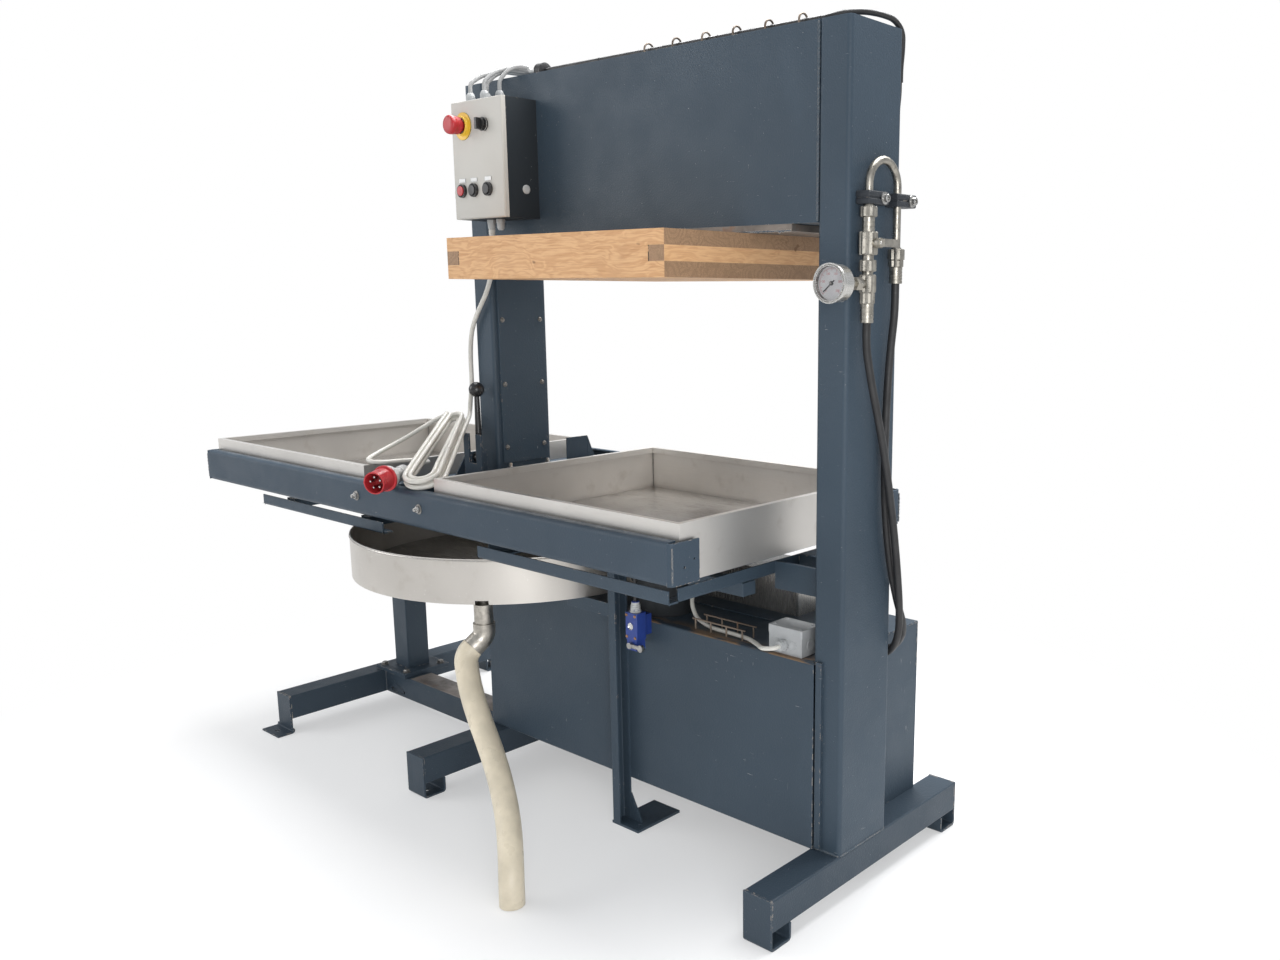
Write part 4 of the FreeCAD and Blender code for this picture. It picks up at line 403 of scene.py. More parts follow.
def torch_edge(name, finish, x0, x1, y, z, seed):
    """The ragged dross along a torch-cut edge: a strip with uneven drips under it."""
    chance = random.Random(seed)
    steps = int((x1 - x0) / 4)
    rings = []
    for i in range(steps + 1):
        x = x0 + (x1 - x0) * i / steps
        drop = chance.uniform(0.4, 1.3) + (chance.random() < 0.16) * chance.uniform(1.0, 3.4)
        out = chance.uniform(0.2, 1.0)
        rings.append([at(x, y, z + 3), at(x, y - out, z + 1.5), at(x, y - 0.4 * out, z - drop),
                      at(x, y + 4, z - 0.1)])
    return skinned(name, finish, rings, 50)


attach(torch_edge("counter_plate_dross", weld_paint, -24, 844, -82.4, 1326.4, 5), "frame")


# Feet, base beam and left post
# Square tubes with bent strips at their ends. The paint is knocked off their
# corners, and the base beam is trodden bare between the post and the column.

foot_paint = painted_steel("paint on the feet", (0.036, 0.053, 0.072), 0.95)
wear_node("feet", foot_paint, 1.2)
wear_node("left_post", foot_paint, 1.0)


def slab(name, finish, low, high, rounding=1.0, segments=2):
    """A block between two corners with rounded edges."""
    work = bmesh.new()
    bmesh.ops.create_cube(work, size=1.0)
    size = at(*high) - at(*low)
    middle = (at(*high) + at(*low)) / 2
    for v in work.verts:
        v.co = Vector((v.co.x * size.x, v.co.y * size.y, v.co.z * size.z)) + middle
    if rounding:
        bmesh.ops.bevel(work, geom=list(work.edges), offset=min(rounding * 0.001, 0.45 * min(size)),
                        segments=segments, affect="EDGES", profile=0.5)
    return shaped(name, finish, work, 40)


trodden = bare_steel("trodden bare steel", (0.30, 0.265, 0.24), 0.25)
tread = slab("base_beam_tread", trodden, (-596, -44, 104.6), (-152, 24, 106.0), 0.6)
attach(tread, "frame")


upward, forward, outward = (0, 0, 1), (0, -1, 0), (1, 0, 0)


def turned(name, finish, start, axis, profile, sides=40, turn=0.0, smooth=35):
    """A turned piece: rings of a radius at distances along an axis. A closed profile has no ends to cap."""
    along = Vector(axis).normalized()
    side = Vector((0, 0, 1)) if abs(along.z) < 0.9 else Vector((1, 0, 0))
    side = (side - along * side.dot(along)).normalized()
    up = along.cross(side)
    rings = []
    for distance, radius in profile:
        centre = at(*start) + along * distance * 0.001
        rings.append(circle(centre, side, up, radius, sides, turn) if radius > 0 else [centre])
    return skinned(name, finish, rings, smooth, profile[0] != profile[-1])


def bolt_head(name, finish, start, axis, flats, height, turn=0.0):
    """A hexagon head with chamfered corners on a thin washer face."""
    corner = flats / math.sqrt(3)
    return turned(name, finish, start, axis,
                  [(0, corner), (0.72 * height, corner), (height, 0.86 * corner), (height, 0)], 6, turn, 20)


def plated_steel(name, colour=(0.50, 0.495, 0.48), roughness=0.30, dirt=0.5):
    """Zinc plate: bright, cloudy, with grey dirt in patches and small rubs."""
    f = Finish(name, roughness, 1.0)
    colour = f.tint(f.patches((0.35, 0.65), 55.0, detail=5.0), colour, shade(colour, 0.72))
    grime = f.patches((0.55, 0.72, 0.0, dirt), 150.0, detail=4.0, shift=4.0)
    colour = f.tint(grime, colour, (0.13, 0.115, 0.10))
    rough = f.patches((0.3, 0.7, roughness - 0.08, roughness + 0.16), 90.0, detail=3.0)
    return f.put(colour, rough, f.grain(800.0, detail=2.0), 0.00006)


zinc = plated_steel("zinc plate")
dull_zinc = plated_steel("dull zinc plate", (0.32, 0.31, 0.295), 0.42, 0.75)

bolts = []
for row in range(4):
    for side in (-57.0, 57.0):
        bolts.append(turned(f"cover_bolt_{row}_{side}", dull_zinc, (-75.2, side, 834 + 156.0 * row), outward,
                            [(0, 6.2), (0.9, 6.2), (1.0, 5.1), (3.0, 5.0), (4.6, 3.6), (4.9, 2.3), (4.4, 2.2),
                             (4.4, 0)], 24))
collar_thread = [(0, 5.0)] + [(0.8 + 0.75 * k, 5.0 - 0.5 * (k % 2)) for k in range(14)] + [(12, 3.9), (12, 0)]
for bx in (-165.0, -65.0):
    for by in (-58.0, 58.0):
        bolts += [turned("washer", zinc, (bx, by, 774), upward, [(0, 11.5), (2.0, 11.5), (2.0, 6)], 32),
                  bolt_head("head", zinc, (bx, by, 776), upward, 17.0, 9.0, 0.3 * bx),
                  turned("thread", zinc, (bx, by, 784), upward, collar_thread, 20)]
for px in (-742.0, -628.0):
    for py in (-37.0, 77.0):
        bolts.append(turned("washer", dull_zinc, (px, py, 117), upward, [(0, 11), (1.6, 11), (1.6, 6)], 28))
        bolts.append(bolt_head("head", dull_zinc, (px, py, 118.4), upward, 16.0, 7.0, px))
frame_bolts = together("bolts_on_the_frame", bolts)
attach(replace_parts(frame_bolts, "frame_bolts"), "frame")


# Casing, deck, cylinder and ram
# Folded sheet closes the space under the deck. The painted deck's front edge
# is worn brown. The turned steel ram stands in a cast cylinder under the tray.

def worn_deck(f, paint):
    """The deck's paint, worn through to brown along the front edge."""
    where = f.split(f.place)
    on_deck = f.calc("GREATER_THAN", where["Z"], 0.4962)
    near = f.between(where["Y"], -0.03, -0.085)
    ragged = f.patches((0.42, 0.56), 30.0, (0.4, 1.0, 1.0), 5.0, 21.0)
    return f.tint(f.times(f.times(on_deck, near), ragged), paint, (0.19, 0.125, 0.075))


wear_node("casing", painted_steel("paint on the casing", (0.040, 0.059, 0.080), 0.7, worn_through=worn_deck), 0.6)
wear_node("lower_beam", frame_paint)


def brushed_steel(name, colour, along, stain=0.5, roughness=0.27, floor_height=0.0):
    """Brushed stainless sheet: fine lines along one axis, dried splashes and dull stains, painted shade in its
    corners, painted highlights along its edges, and with a floor height, upward faces painted darker below it as
    shade.
    """
    f = Finish(name, roughness, 0.85)
    stretch = {"x": (0.012, 1.0, 1.0), "y": (1.0, 0.012, 1.0), "z": (1.0, 1.0, 0.012)}[along]
    lines = f.grain(1500.0, stretch, 2.0)
    sheet = f.tint(f.patches((0.3, 0.7), 3.0, detail=4.0), colour, shade(colour, 0.86))
    sheet = f.tint(f.times(lines, 0.25), sheet, shade(colour, 0.60))
    splash = f.patches((0.56, 0.72, 0.0, 0.5 * stain), 17.0, detail=7.0, shift=3.0)
    sheet = f.tint(splash, sheet, (0.34, 0.29, 0.235))
    # Painted shade: the sheet is darkened in corners and creases where ambient occlusion finds little light.
    inner = f.node("AmbientOcclusion", {"Distance": 0.02}, samples=6).outputs["AO"]
    sheet = f.tint(f.between(inner, 0.70, 0.25, 0.0, 0.55), sheet, (0.15, 0.125, 0.105))
    # Painted highlight: the edges are lightened toward a pale steel colour, as a bright rim.
    sheet = f.tint(f.times(f.edges(0.0016), 0.6), sheet, (0.86, 0.85, 0.83))
    scratch = f.patches((0.70, 0.735, 0.0, 0.5), 26.0, (1.0, 12.0, 12.0), 2.0, 9.0)
    sheet = f.tint(scratch, sheet, (0.78, 0.77, 0.75))
    rough = f.between(lines, 0.2, 0.8, roughness - 0.06, roughness + 0.10)
    rough = f.calc("ADD", rough, f.times(splash, 0.28))
    # Painted shade: below the floor height, upward faces are darkened so the floor reads darker than the lit walls.
    if floor_height:
        under = f.calc("LESS_THAN", f.split(f.place)["Z"], floor_height)
        floor = f.times(under, f.between(f.facing()["Z"], 0.35, 0.95))
        tone = f.patches((0.35, 0.7, 0.70, 0.98), 5.0, detail=6.0, shift=7.0)
        sheet = f.tint(f.times(floor, tone), sheet, (0.13, 0.113, 0.098))
        rough = f.calc("SUBTRACT", rough, f.times(floor, 0.08))
    return f.put(sheet, rough, lines, 0.00005)


stainless_x = brushed_steel("brushed stainless along x", (0.56, 0.535, 0.50), "x")
stainless_z = brushed_steel("brushed stainless upright", (0.52, 0.50, 0.47), "z", 0.35, 0.22)
machine_paint = painted_steel("machine paint", (0.028, 0.031, 0.034), 0.2, 0.0002)
wear_node("power_unit_cover", stainless_z, 1.2)
wear_node("power_unit", machine_paint)
wear_node("cylinder_barrel", machine_paint, 0.8)
wear_node("ram", plated_steel("turned steel", (0.46, 0.45, 0.44), 0.22, 0.35), 1.0)
for name in ("support_post", "rest_frame", "left_rest"):
    wear_node(name, frame_paint, 0.9)


# Juice pan, drain pipe and drain hose
# A round stainless pan stands between the trays on the frame. Its outlet
# pipe ends in an elbow, and a ribbed cream hose leads the juice to the floor.

wear_node("juice_pan", brushed_steel("brushed pan sheet", (0.62, 0.59, 0.55), "x", 0.35, 0.34, 0.54))
satin_elbow = plated_steel("satin elbow", (0.50, 0.47, 0.42), 0.38, 0.35)
wear_node("drain_pipe", satin_elbow)
pan_edge = turned("pan_rim_bead", stainless_x, (-115, 0, 628.4), upward,
                  [(0, 411.3), (-2.0, 412.6), (-3.6, 411.8), (-4.0, 409.6), (-1.0, 409.2), (0.9, 409.6),
                   (0, 411.3)], 180, smooth=60)
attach(pan_edge, "frame")


def route_curve(name, finish, points, radius, resolution=8, sides=5, taper=None):
    """An open spline through the route's points in millimetres, as thick as a cord."""
    line = bpy.data.curves.new(name, "CURVE")
    line.dimensions = "3D"
    line.resolution_u = resolution
    line.bevel_depth = radius * 0.001
    line.bevel_resolution = sides
    line.use_fill_caps = True
    spline = line.splines.new("NURBS")
    spline.points.add(len(points) - 1)
    for k, place in enumerate(points):
        spline.points[k].co = (*at(*place), 1.0)
        spline.points[k].radius = 1.0 if taper is None else taper[k]
    spline.order_u = 3
    spline.use_endpoint_u = True
    line.materials.append(finish)
    return stand(name, line)


def followed(points, resolution=16):
    """The points in metres that an open spline through the route passes."""
    bare = route_curve("measured", None, points, 0.0, resolution)
    bare.data.use_fill_caps = False
    mesh = bpy.data.meshes.new_from_object(bare)
    way = [v.co.copy() for v in mesh.vertices]
    bpy.data.objects.remove(bare)
    return way


def even_steps(way, step):
    """Places at even steps along a line."""
    out, left = [way[0].copy()], step
    for a, b in zip(way, way[1:]):
        run = (b - a).length
        while run >= left > 0:
            a = a + (b - a) * (left / run)
            run = (b - a).length
            out.append(a.copy())
            left = step
        left -= run
    if (out[-1] - way[-1]).length > 0.3 * step:
        out.append(way[-1].copy())
    return out


def tube_along(name, finish, way, outer, inner, ring=lambda i: 0.0, sides=28):
    """A tube round a line, with a radius that may ripple, and a bore where inner isn't 0."""
    outside, bore = [], []
    side = (way[1] - way[0]).orthogonal().normalized()
    for i, centre in enumerate(way):
        along = (way[min(i + 1, len(way) - 1)] - way[max(i - 1, 0)]).normalized()
        side = (side - along * side.dot(along)).normalized()
        up = along.cross(side)
        outside.append(circle(centre, side, up, outer + ring(i), sides))
        bore.append(circle(centre, side, up, inner, sides))
    if not inner:
        return skinned(name, finish, outside, 80)
    return skinned(name, finish, outside + bore[::-1] + outside[:1], 60, False)


def soft_plastic(name, colour, roughness=0.45, dirt=0.35, scale=120.0, painted_over=None):
    """Plastic or rubber: slightly cloudy, handled, with dull patches, specks of dirt and a painted highlight along
    its edges.
    """
    f = Finish(name, roughness)
    skin = f.tint(f.patches((0.3, 0.7), 14.0, detail=4.0), shade(colour, 0.88), shade(colour, 1.10, 0.004))
    specks = f.patches((0.62, 0.80, 0.0, dirt), scale, detail=5.0, shift=6.0)
    skin = f.tint(specks, skin, (0.16, 0.135, 0.11) if sum(colour) > 0.3 else (0.12, 0.115, 0.11))
    # Painted highlight: the edges are lightened, as if they caught the light.
    skin = f.tint(f.times(f.edges(0.0007), 0.30), skin, shade(colour, 1.5, 0.03))
    if painted_over:
        skin = painted_over(f, skin)
    rough = f.patches((0.3, 0.7, roughness - 0.08, roughness + 0.12), 30.0, detail=4.0, shift=2.0)
    return f.put(skin, rough, f.grain(1400.0, detail=2.0), 0.00005)


cream = soft_plastic("cream hose plastic", (0.66, 0.585, 0.45), 0.34, 0.16, 240.0)
hose_route = [(132.9, -331.2, 428.8), (127, -346.5, 414.7), (145, -357, 382), (175, -369, 342), (215, -381, 300),
              (262, -393, 258), (308, -407, 218), (348, -423, 182), (385, -441, 146), (420, -463, 112),
              (450, -485, 76), (466, -498, 38), (466, -498, 1)]
hose_steps = even_steps(followed(hose_route), 0.0012)
drain = tube_along("drain_hose_tube", cream, hose_steps, 25.75, 22.5, lambda i: (0.0, 0.18, 0.25, 0.18)[i % 4], 40)
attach(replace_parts(drain, "drain_hose"), "frame")
at(*hose_route[0])


# Swivel bearing, hub and table
# The table turns round the left column on a machined collar. Two channels
# and two folded rails with rolled tops carry the two brushed trays.

wear_node("swivel_bearing", plated_steel("machined collar", (0.42, 0.41, 0.40), 0.34, 0.5), 0.8)
table_paint = painted_steel("paint on the table", (0.037, 0.056, 0.078), 0.75)
for name, rounding in (("table_hub", 0.9), ("table_crossbeams", 0.0), ("table_rails", 0.0), ("lever_bracket", 0.9)):
    wear_node(name, table_paint, rounding)
tray_sheet = brushed_steel("brushed tray sheet", (0.72, 0.695, 0.66), "x", 0.45, 0.36, 0.705)
tray_low, tray_high, tray_half_depth = 697, 787, 337.2
for name, body, ends in (("left_tray", "table", (-1022.2, -262.8)), ("right_tray", "lifted_tray", (32.8, 792.2))):
    wear_node(name, tray_sheet)
    corners = [weld_bead("corner", dull_zinc, (x, y, tray_low), (x, y, tray_high), 1.5, x + y)
               for x in ends for y in (-tray_half_depth, tray_half_depth)]
    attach(together(name + "_corner_welds", corners), body)
stub_thread = [(0, 4.6)] + [(k, 4.2 if k % 2 else 4.6) for k in range(1, 6)] + [(6.6, 4.5), (7.3, 3.6), (7.3, 0)]
rail_bolts = []
for x in (-245.0, 15.0):
    for side in (-1, 1):
        for name, steel, out, profile, sides, turn, smooth in (
                ("washer", dull_zinc, 372.0, [(0, 11.5), (1.4, 11.5), (1.8, 10.8), (1.8, 5)], 32, 0.0, 35),
                ("nut", zinc, 373.4, [(0, 8.6), (4.6, 8.6), (5.6, 7.6), (5.6, 4.2)], 6, 0.35, 20),
                ("stub", zinc, 378.6, stub_thread, 24, 0.0, 35)):
            rail_bolts.append(turned(name, steel, (x, side * out, 736), (0, side, 0), profile, sides, turn, smooth))
rail_bolt_set = together("bolts_on_the_rails", rail_bolts)
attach(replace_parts(rail_bolt_set, "rail_bolts"), "table")
for side in (-1, 1):
    for x in (-1034, 804):
        y = side * 368.0
        seam = weld_bead(f"rail_end_weld_{side}_{x}", weld_paint, (x, y, 696), (x, y, 764), 1.6, x + side)
        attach(seam, "table")


# Lock lever and lock bolt
# A black tapered rod with a ball on its end lifts the bolt out of the disc.
# It swings in a slotted guard bent from painted sheet.

black_plastic = soft_plastic("black plastic", (0.012, 0.012, 0.013), 0.33, 0.25)
lever_black = soft_plastic("black lever", (0.014, 0.014, 0.015), 0.28, 0.3)
wear_node("lock_lever", lever_black)
wear_node("lock_bolt", dull_zinc)


# Hydraulic pipe, valve, tee and gauge
# Zinc-plated fittings on the right column: a bent pipe in two clamps, nuts
# with crimped ferrules, a lever valve and a dial gauge on a side branch.

champagne = plated_steel("champagne zinc", (0.44, 0.415, 0.365), 0.33, 0.5)
wear_node("steel_pipe", champagne)
wear_node("hydraulic_fittings", champagne)
rubber = soft_plastic("black hose rubber", (0.016, 0.016, 0.017), 0.5, 0.3)
wear_node("hydraulic_hoses", rubber)
wear_node("valve_handle", champagne, 0.9)
pipe_x, left_leg, right_leg = 995.0, -49.0, 43.0


def hexed(name, y, z0, z1, flats, chamfer=1.4):
    """A hexagon fitting with turned chamfers at both of its ends."""
    corner = flats / math.sqrt(3)
    return turned(name, champagne, (pipe_x, y, z0), upward,
                  [(0, 0), (0, 0.88 * corner), (chamfer, corner), (z1 - z0 - chamfer, corner),
                   (z1 - z0, 0.88 * corner), (z1 - z0, 0)], 6, math.radians(30), 20)


def round_rings(name, y, z0, z1, radius, grooves, depth=0.8):
    """A turned sleeve with pressed grooves round it."""
    profile = [(0, 0), (0, radius - 0.8), (0.8, radius)]
    pitch = (z1 - z0 - 2.0) / (grooves + 1)
    for k in range(grooves):
        z = 1.0 + pitch * (k + 1)
        profile += [(z - 1.3, radius), (z - 0.7, radius - depth), (z + 0.7, radius - depth), (z + 1.3, radius)]
    profile += [(z1 - z0 - 0.8, radius), (z1 - z0, radius - 0.8), (z1 - z0, 0)]
    return turned(name, champagne, (pipe_x, y, z0), upward, profile, 36, 0.0, 30)


fitting_parts = [
    hexed("left_nut", left_leg, 1347.6, 1366.4, 27.6),
    round_rings("left_nut_skirt", left_leg, 1321, 1348, 11.6, 2, 1.0),
    hexed("valve_body", left_leg, 1280.8, 1322.2, 30.6, 2.2),
    round_rings("valve_neck", left_leg, 1250, 1281, 10.9, 2, 0.7),
    hexed("tee_nut", left_leg, 1251.6, 1272.2, 27.4),
    hexed("tee_body", left_leg, 1213.8, 1246.2, 27.6, 2.0),
    hexed("left_hose_nut", left_leg, 1193.8, 1214.2, 24.5),
    round_rings("left_ferrule", left_leg, 1159.8, 1194, 12.4, 4),
    hexed("right_nut", right_leg, 1273.8, 1294.3, 27.6),
    hexed("right_hose_nut", right_leg, 1260.8, 1274.2, 24.5),
    round_rings("right_ferrule", right_leg, 1230.8, 1261, 12.4, 4),
]
branch_profile = [(0, 8.4), (14, 8.4), (14.4, 12.4), (16, 13.2), (31.5, 13.2), (33, 12.4), (33.4, 8.6), (76, 8.6)]
fitting_parts.append(turned("gauge_branch", champagne, (pipe_x, -60, 1230), forward, branch_profile, 6,
                            math.radians(30), 20))
for leg, height in ((left_leg, 1366.6), (right_leg, 1294.6)):
    for step in (0, 1):
        wide = 9.8 - 1.6 * step
        fitting_parts.append(turned("pipe_stop", champagne, (pipe_x, leg, height + 2.2 * step), upward,
                                    [(0, 7.6), (0, wide), (1.9, wide - 0.4), (1.9, 7.6)], 30))
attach(together("turned_fittings", fitting_parts), "frame")
stem = turned("valve_stem_nut", zinc, (1024.2, left_leg, 1301.5), outward,
              [(0, 7.4), (3.0, 7.4), (4.0, 6.6), (4.0, 0)], 6, 0.2, 20)
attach(stem, "valve_handle")

clamp_paint = painted_steel("paint on the clamps", (0.030, 0.034, 0.040), 0.7)
clamp_blocks = []
clamp_bolts = []
for leg in (left_leg, right_leg):
    for low, high in ((1370.0, 1381.2), (1382.8, 1394.0)):
        clamp_blocks.append(slab("half", clamp_paint, (975, leg - 14, low), (1005.6, leg + 50, high), 3.0, 3))
    clamp_blocks.append(slab("core", clamp_paint, (977, leg - 12, 1380), (1003, leg + 48, 1384), 0.5))
    clamp_bolts.append(turned("washer", zinc, (1005.6, leg + 34, 1382), outward,
                              [(0, 11), (1.8, 11), (2.1, 10.4), (2.1, 6)], 36))
    clamp_bolts.append(turned("cap", zinc, (1007.4, leg + 34, 1382), outward,
                              [(0, 7.2), (6.6, 7.2), (7.4, 6.2), (7.4, 3.4), (3.6, 3.4), (3.6, 0)], 30))
blocks = together("clamp_blocks", clamp_blocks + clamp_bolts)
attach(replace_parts(blocks, "pipe_clamps"), "frame")


def dial_marks(name, finish, centre, y, radius):
    """The gauge's printed ring: a thin arc with short and long ticks, as thin raised ink."""
    verts, faces = [], []

    def bar(angle, r0, r1, half):
        sine, cosine = math.sin(angle), math.cos(angle)
        first = len(verts)
        for depth in (0, 0.25):
            for r, s in ((r0, -half), (r1, -half), (r1, half), (r0, half)):
                verts.append(at(centre[0] + r * sine + s * cosine, y + depth, centre[1] + r * cosine - s * sine))
        faces.append(tuple(range(first, first + 4)))
        for k in range(4):
            n = (k + 1) % 4
            faces.append((first + k, first + 4 + k, first + 4 + n, first + n))

    for k in range(51):
        angle = math.radians(-135 + 270 * k / 50)
        long = k % 5 == 0
        bar(angle, radius - (6.0 if long else 3.6), radius - 1.2, 0.34 if long else 0.17)
        if k < 50:
            bar(angle + math.radians(2.7), radius - 1.5, radius - 1.15, 0.80)
    return solid(name, finish, verts, faces, 0)


def number(name, finish, text, centre, y, size):
    """A printed number, cut as thin raised letters."""
    words = bpy.data.curves.new(name, "FONT")
    words.body = text
    words.size = size * 0.001
    words.extrude = 0.00012
    words.align_x, words.align_y = "CENTER", "CENTER"
    made = stand(name, words)
    made.rotation_euler = (math.radians(90), 0, 0)
    made.location = at(centre[0], y, centre[1])
    bpy.context.view_layer.update()
    mesh = bpy.data.meshes.new_from_object(made)
    mesh.transform(made.matrix_world)
    bpy.data.objects.remove(made)
    mesh.materials.clear()
    mesh.materials.append(finish)
    return stand(name, mesh)


gauge_centre = (pipe_x, 1230.0)
dial_white = soft_plastic("printed dial", (0.60, 0.60, 0.62), 0.4, 0.1)
red_ink = soft_plastic("red ink", (0.42, 0.10, 0.11), 0.5, 0.05)
case_steel = brushed_steel("gauge case steel", (0.60, 0.59, 0.56), "y", 0.15, 0.22)
wear_node("pressure_gauge", case_steel, 0.8)
dial = turned("gauge_dial_sheet", dial_white, (pipe_x, -156.05, 1230), forward,
              [(0, 29.6), (0.35, 29.6), (0.35, 1.4)], 64)
marks = dial_marks("gauge_marks", red_ink, gauge_centre, -156.62, 28.0)
figures = []
for k in range(6):
    angle = math.radians(-135 + 54 * k)
    place = (gauge_centre[0] + 18.2 * math.sin(angle), gauge_centre[1] + 18.2 * math.cos(angle))
    figures.append(number("number", red_ink, str(50 * k), place, -156.5, 5.6))
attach(together("gauge_printing", [marks] + figures), "frame")
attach(dial, "frame")
rim = turned("gauge_bezel", case_steel, (pipe_x, -158.6, 1230), forward,
             [(0, 34.9), (4.6, 34.9), (6.6, 34.2), (7.4, 32.6), (7.4, 31.0), (6.6, 30.2), (6.2, 30.2), (6.2, 31.4),
              (0.4, 33.4), (0, 34.9)], 96, smooth=60)
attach(rim, "frame")
wear_node("gauge_needle", black_plastic)

glass = Finish("gauge glass", 0.03)
glass.shader.inputs["Transmission Weight"].default_value = 1.0
glass.shader.inputs["IOR"].default_value = 1.45
glass.put(glass.tint(glass.grain(40.0), (0.97, 0.97, 0.97), (1, 1, 1)),
          glass.patches((0.4, 0.7, 0.02, 0.09), 60.0, detail=4.0))
wear_node("gauge_glass", glass.material)


# Control box
# A folded box with a gasketed door on two pin hinges. The door carries a
# mushroom stop button on a yellow disc, a selector and three push buttons.

box_paint = painted_steel("charcoal box paint", (0.022, 0.027, 0.032), 0.25, 0.0002)
door_paint = painted_steel("pale grey door paint", (0.47, 0.455, 0.42), 0.1, 0.0002)
wear_node("control_box", box_paint, 1.2)
wear_node("control_door", door_paint, 1.8)
wear_node("door_fittings", black_plastic, 0.5)
door_y = -178.0
gasket = together("door_gasket", [slab("strip", rubber, low, high, 0.3) for low, high in (
    ((-67.5, -166.4, 1379), (-59.5, -165.2, 1629)), ((103.5, -166.4, 1379), (111.5, -165.2, 1629)),
    ((-59.7, -166.4, 1379), (103.7, -165.2, 1387)), ((-59.7, -166.4, 1621), (103.7, -165.2, 1629)))])
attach(gasket, "door")
red = soft_plastic("red plastic", (0.40, 0.018, 0.024), 0.32, 0.15)
yellow = soft_plastic("yellow plastic", (0.72, 0.46, 0.035), 0.38, 0.2)
chrome = plated_steel("chrome rings", (0.68, 0.68, 0.68), 0.12, 0.1)
white_plate = soft_plastic("white plate", (0.72, 0.72, 0.71), 0.42, 0.12)
stop_x, stop_z = -25.0, 1578.0
disc = turned("stop_disc", yellow, (stop_x, door_y, stop_z), forward,
              [(0, 30), (1.6, 30), (2.2, 29.4), (2.2, 21.8), (6.8, 21.0), (8.4, 19.6), (8.4, 17.4), (0.3, 17.4),
               (0, 30)], 72)
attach(disc, "door")
wear_node("estop_button", red)
mushroom = turned("stop_mushroom", red, (stop_x, door_y - 9.0, stop_z), forward,
                  [(0, 14.0), (1.5, 16.0), (12, 16.6), (15.6, 17.6), (18.6, 20.2), (24, 20.6), (29, 20.2),
                   (31.4, 18.8), (32.6, 16.0), (33.0, 10.0), (33.1, 0)], 72, smooth=60)
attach(mushroom, "estop")


def push_button(x, z, colour, body, name):
    """A round button: black bezel with a bright ring line, and a domed cap in its well."""
    bezel = turned(f"{name}_bezel", black_plastic, (x, door_y, z), forward,
                   [(0, 14.8), (3.6, 14.8), (6.2, 13.9), (7.0, 12.8), (7.0, 11.6), (5.6, 11.2), (0.2, 11.2),
                    (0, 14.8)], 64, smooth=30)
    line = turned(f"{name}_ring", chrome, (x, door_y - 4.4, z), forward,
                  [(0, 14.3), (0.2, 14.85), (1.0, 14.65), (1.2, 13.6), (0, 14.3)], 64, smooth=60)
    cap = turned(f"{name}_cap", colour, (x, door_y - 5.0, z), forward,
                 [(0, 10.5), (2.6, 10.5), (3.6, 10.0), (4.1, 8.4), (3.9, 5.0), (3.8, 0)], 56, smooth=60)
    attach(together(f"{name}_frame", [bezel, line]), "door")
    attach(cap, body)
    plate = slab(f"{name}_plate", white_plate, (x - 12, door_y - 1.1, z + 18), (x + 12, door_y, z + 27), 0.8)
    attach(plate, "door")


wear_node("red_button", red, 0.6)
wear_node("black_button_left", black_plastic, 0.6)
wear_node("black_button_right", black_plastic, 0.6)
push_button(-37.0, 1438.0, red, "red_button", "red_lamp_button")
push_button(6.0, 1438.0, black_plastic, "left_button", "left_push_button")
push_button(58.0, 1438.0, black_plastic, "right_button", "right_push_button")
wear_node("selector_knob", black_plastic, 0.8)
ring = turned("selector_ring", chrome, (52, door_y - 3.2, 1576), forward,
              [(0, 14.6), (0.3, 15.1), (1.4, 15.0), (1.8, 13.8), (0, 14.6)], 64, smooth=60)
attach(ring, "door")
plug_grey = soft_plastic("grey gland plastic", (0.42, 0.43, 0.43), 0.42, 0.35)
side_plug = turned("box_side_plug", plug_grey, (113.6, -118, 1438), outward,
                   [(0, 10.0), (1.8, 10.0), (2.6, 9.0), (2.9, 6.0), (3.0, 0)], 40, smooth=60)
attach(side_plug, "frame")


# Cable glands, cables and hoops
# Grey domed glands feed four cables over the beam. A tie gathers them into
# one black bundle that runs under wire hoops and down behind the column.

def gland(name, x, y, z, way, radius=11.5, length=24.0):
    """A screwed cable gland: hexagon body, ribbed dome nut and a short sealing lip."""
    body = turned(name + "_hex", plug_grey, (x, y, z), way,
                  [(0, radius), (0.31 * length, radius), (0.33 * length, 0.9 * radius)], 6, 0.3, 20)
    dome_shape = ((0.30, 0.88), (0.62, 0.88), (0.80, 0.80), (0.93, 0.62), (1.0, 0.50), (1.0, 0.40))
    dome = turned(name + "_dome", plug_grey, (x, y, z), way,
                  [(length * share, radius * wide) for share, wide in dome_shape], 12, 0.0, 50)
    return together(name, [body, dome])


top_places = ((-44, -141), (-18, -115), (8, -141), (34, -119))
glands = [gland(f"gland_{k}", x, y, 1632, upward) for k, (x, y) in enumerate(top_places)]
glands += [gland(f"low_gland_{k}", x, -125, 1376, (0, 0, -1), 10.0) for k, x in enumerate((-8, 26))]
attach(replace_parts(together("cable_gland_set", glands), "cable_glands"), "frame")


def gathered(f, grey):
    """The sheaths are grey before the gathering tie, black from there on and brown low down."""
    where = f.split(f.place)
    black_from_tie = f.calc("GREATER_THAN", where["X"], 0.104)
    brown = f.times(f.calc("LESS_THAN", where["Z"], 1.5), f.calc("GREATER_THAN", where["X"], 0.85))
    return f.tint(brown, f.tint(black_from_tie, grey, (0.017, 0.017, 0.018)), (0.16, 0.10, 0.07))


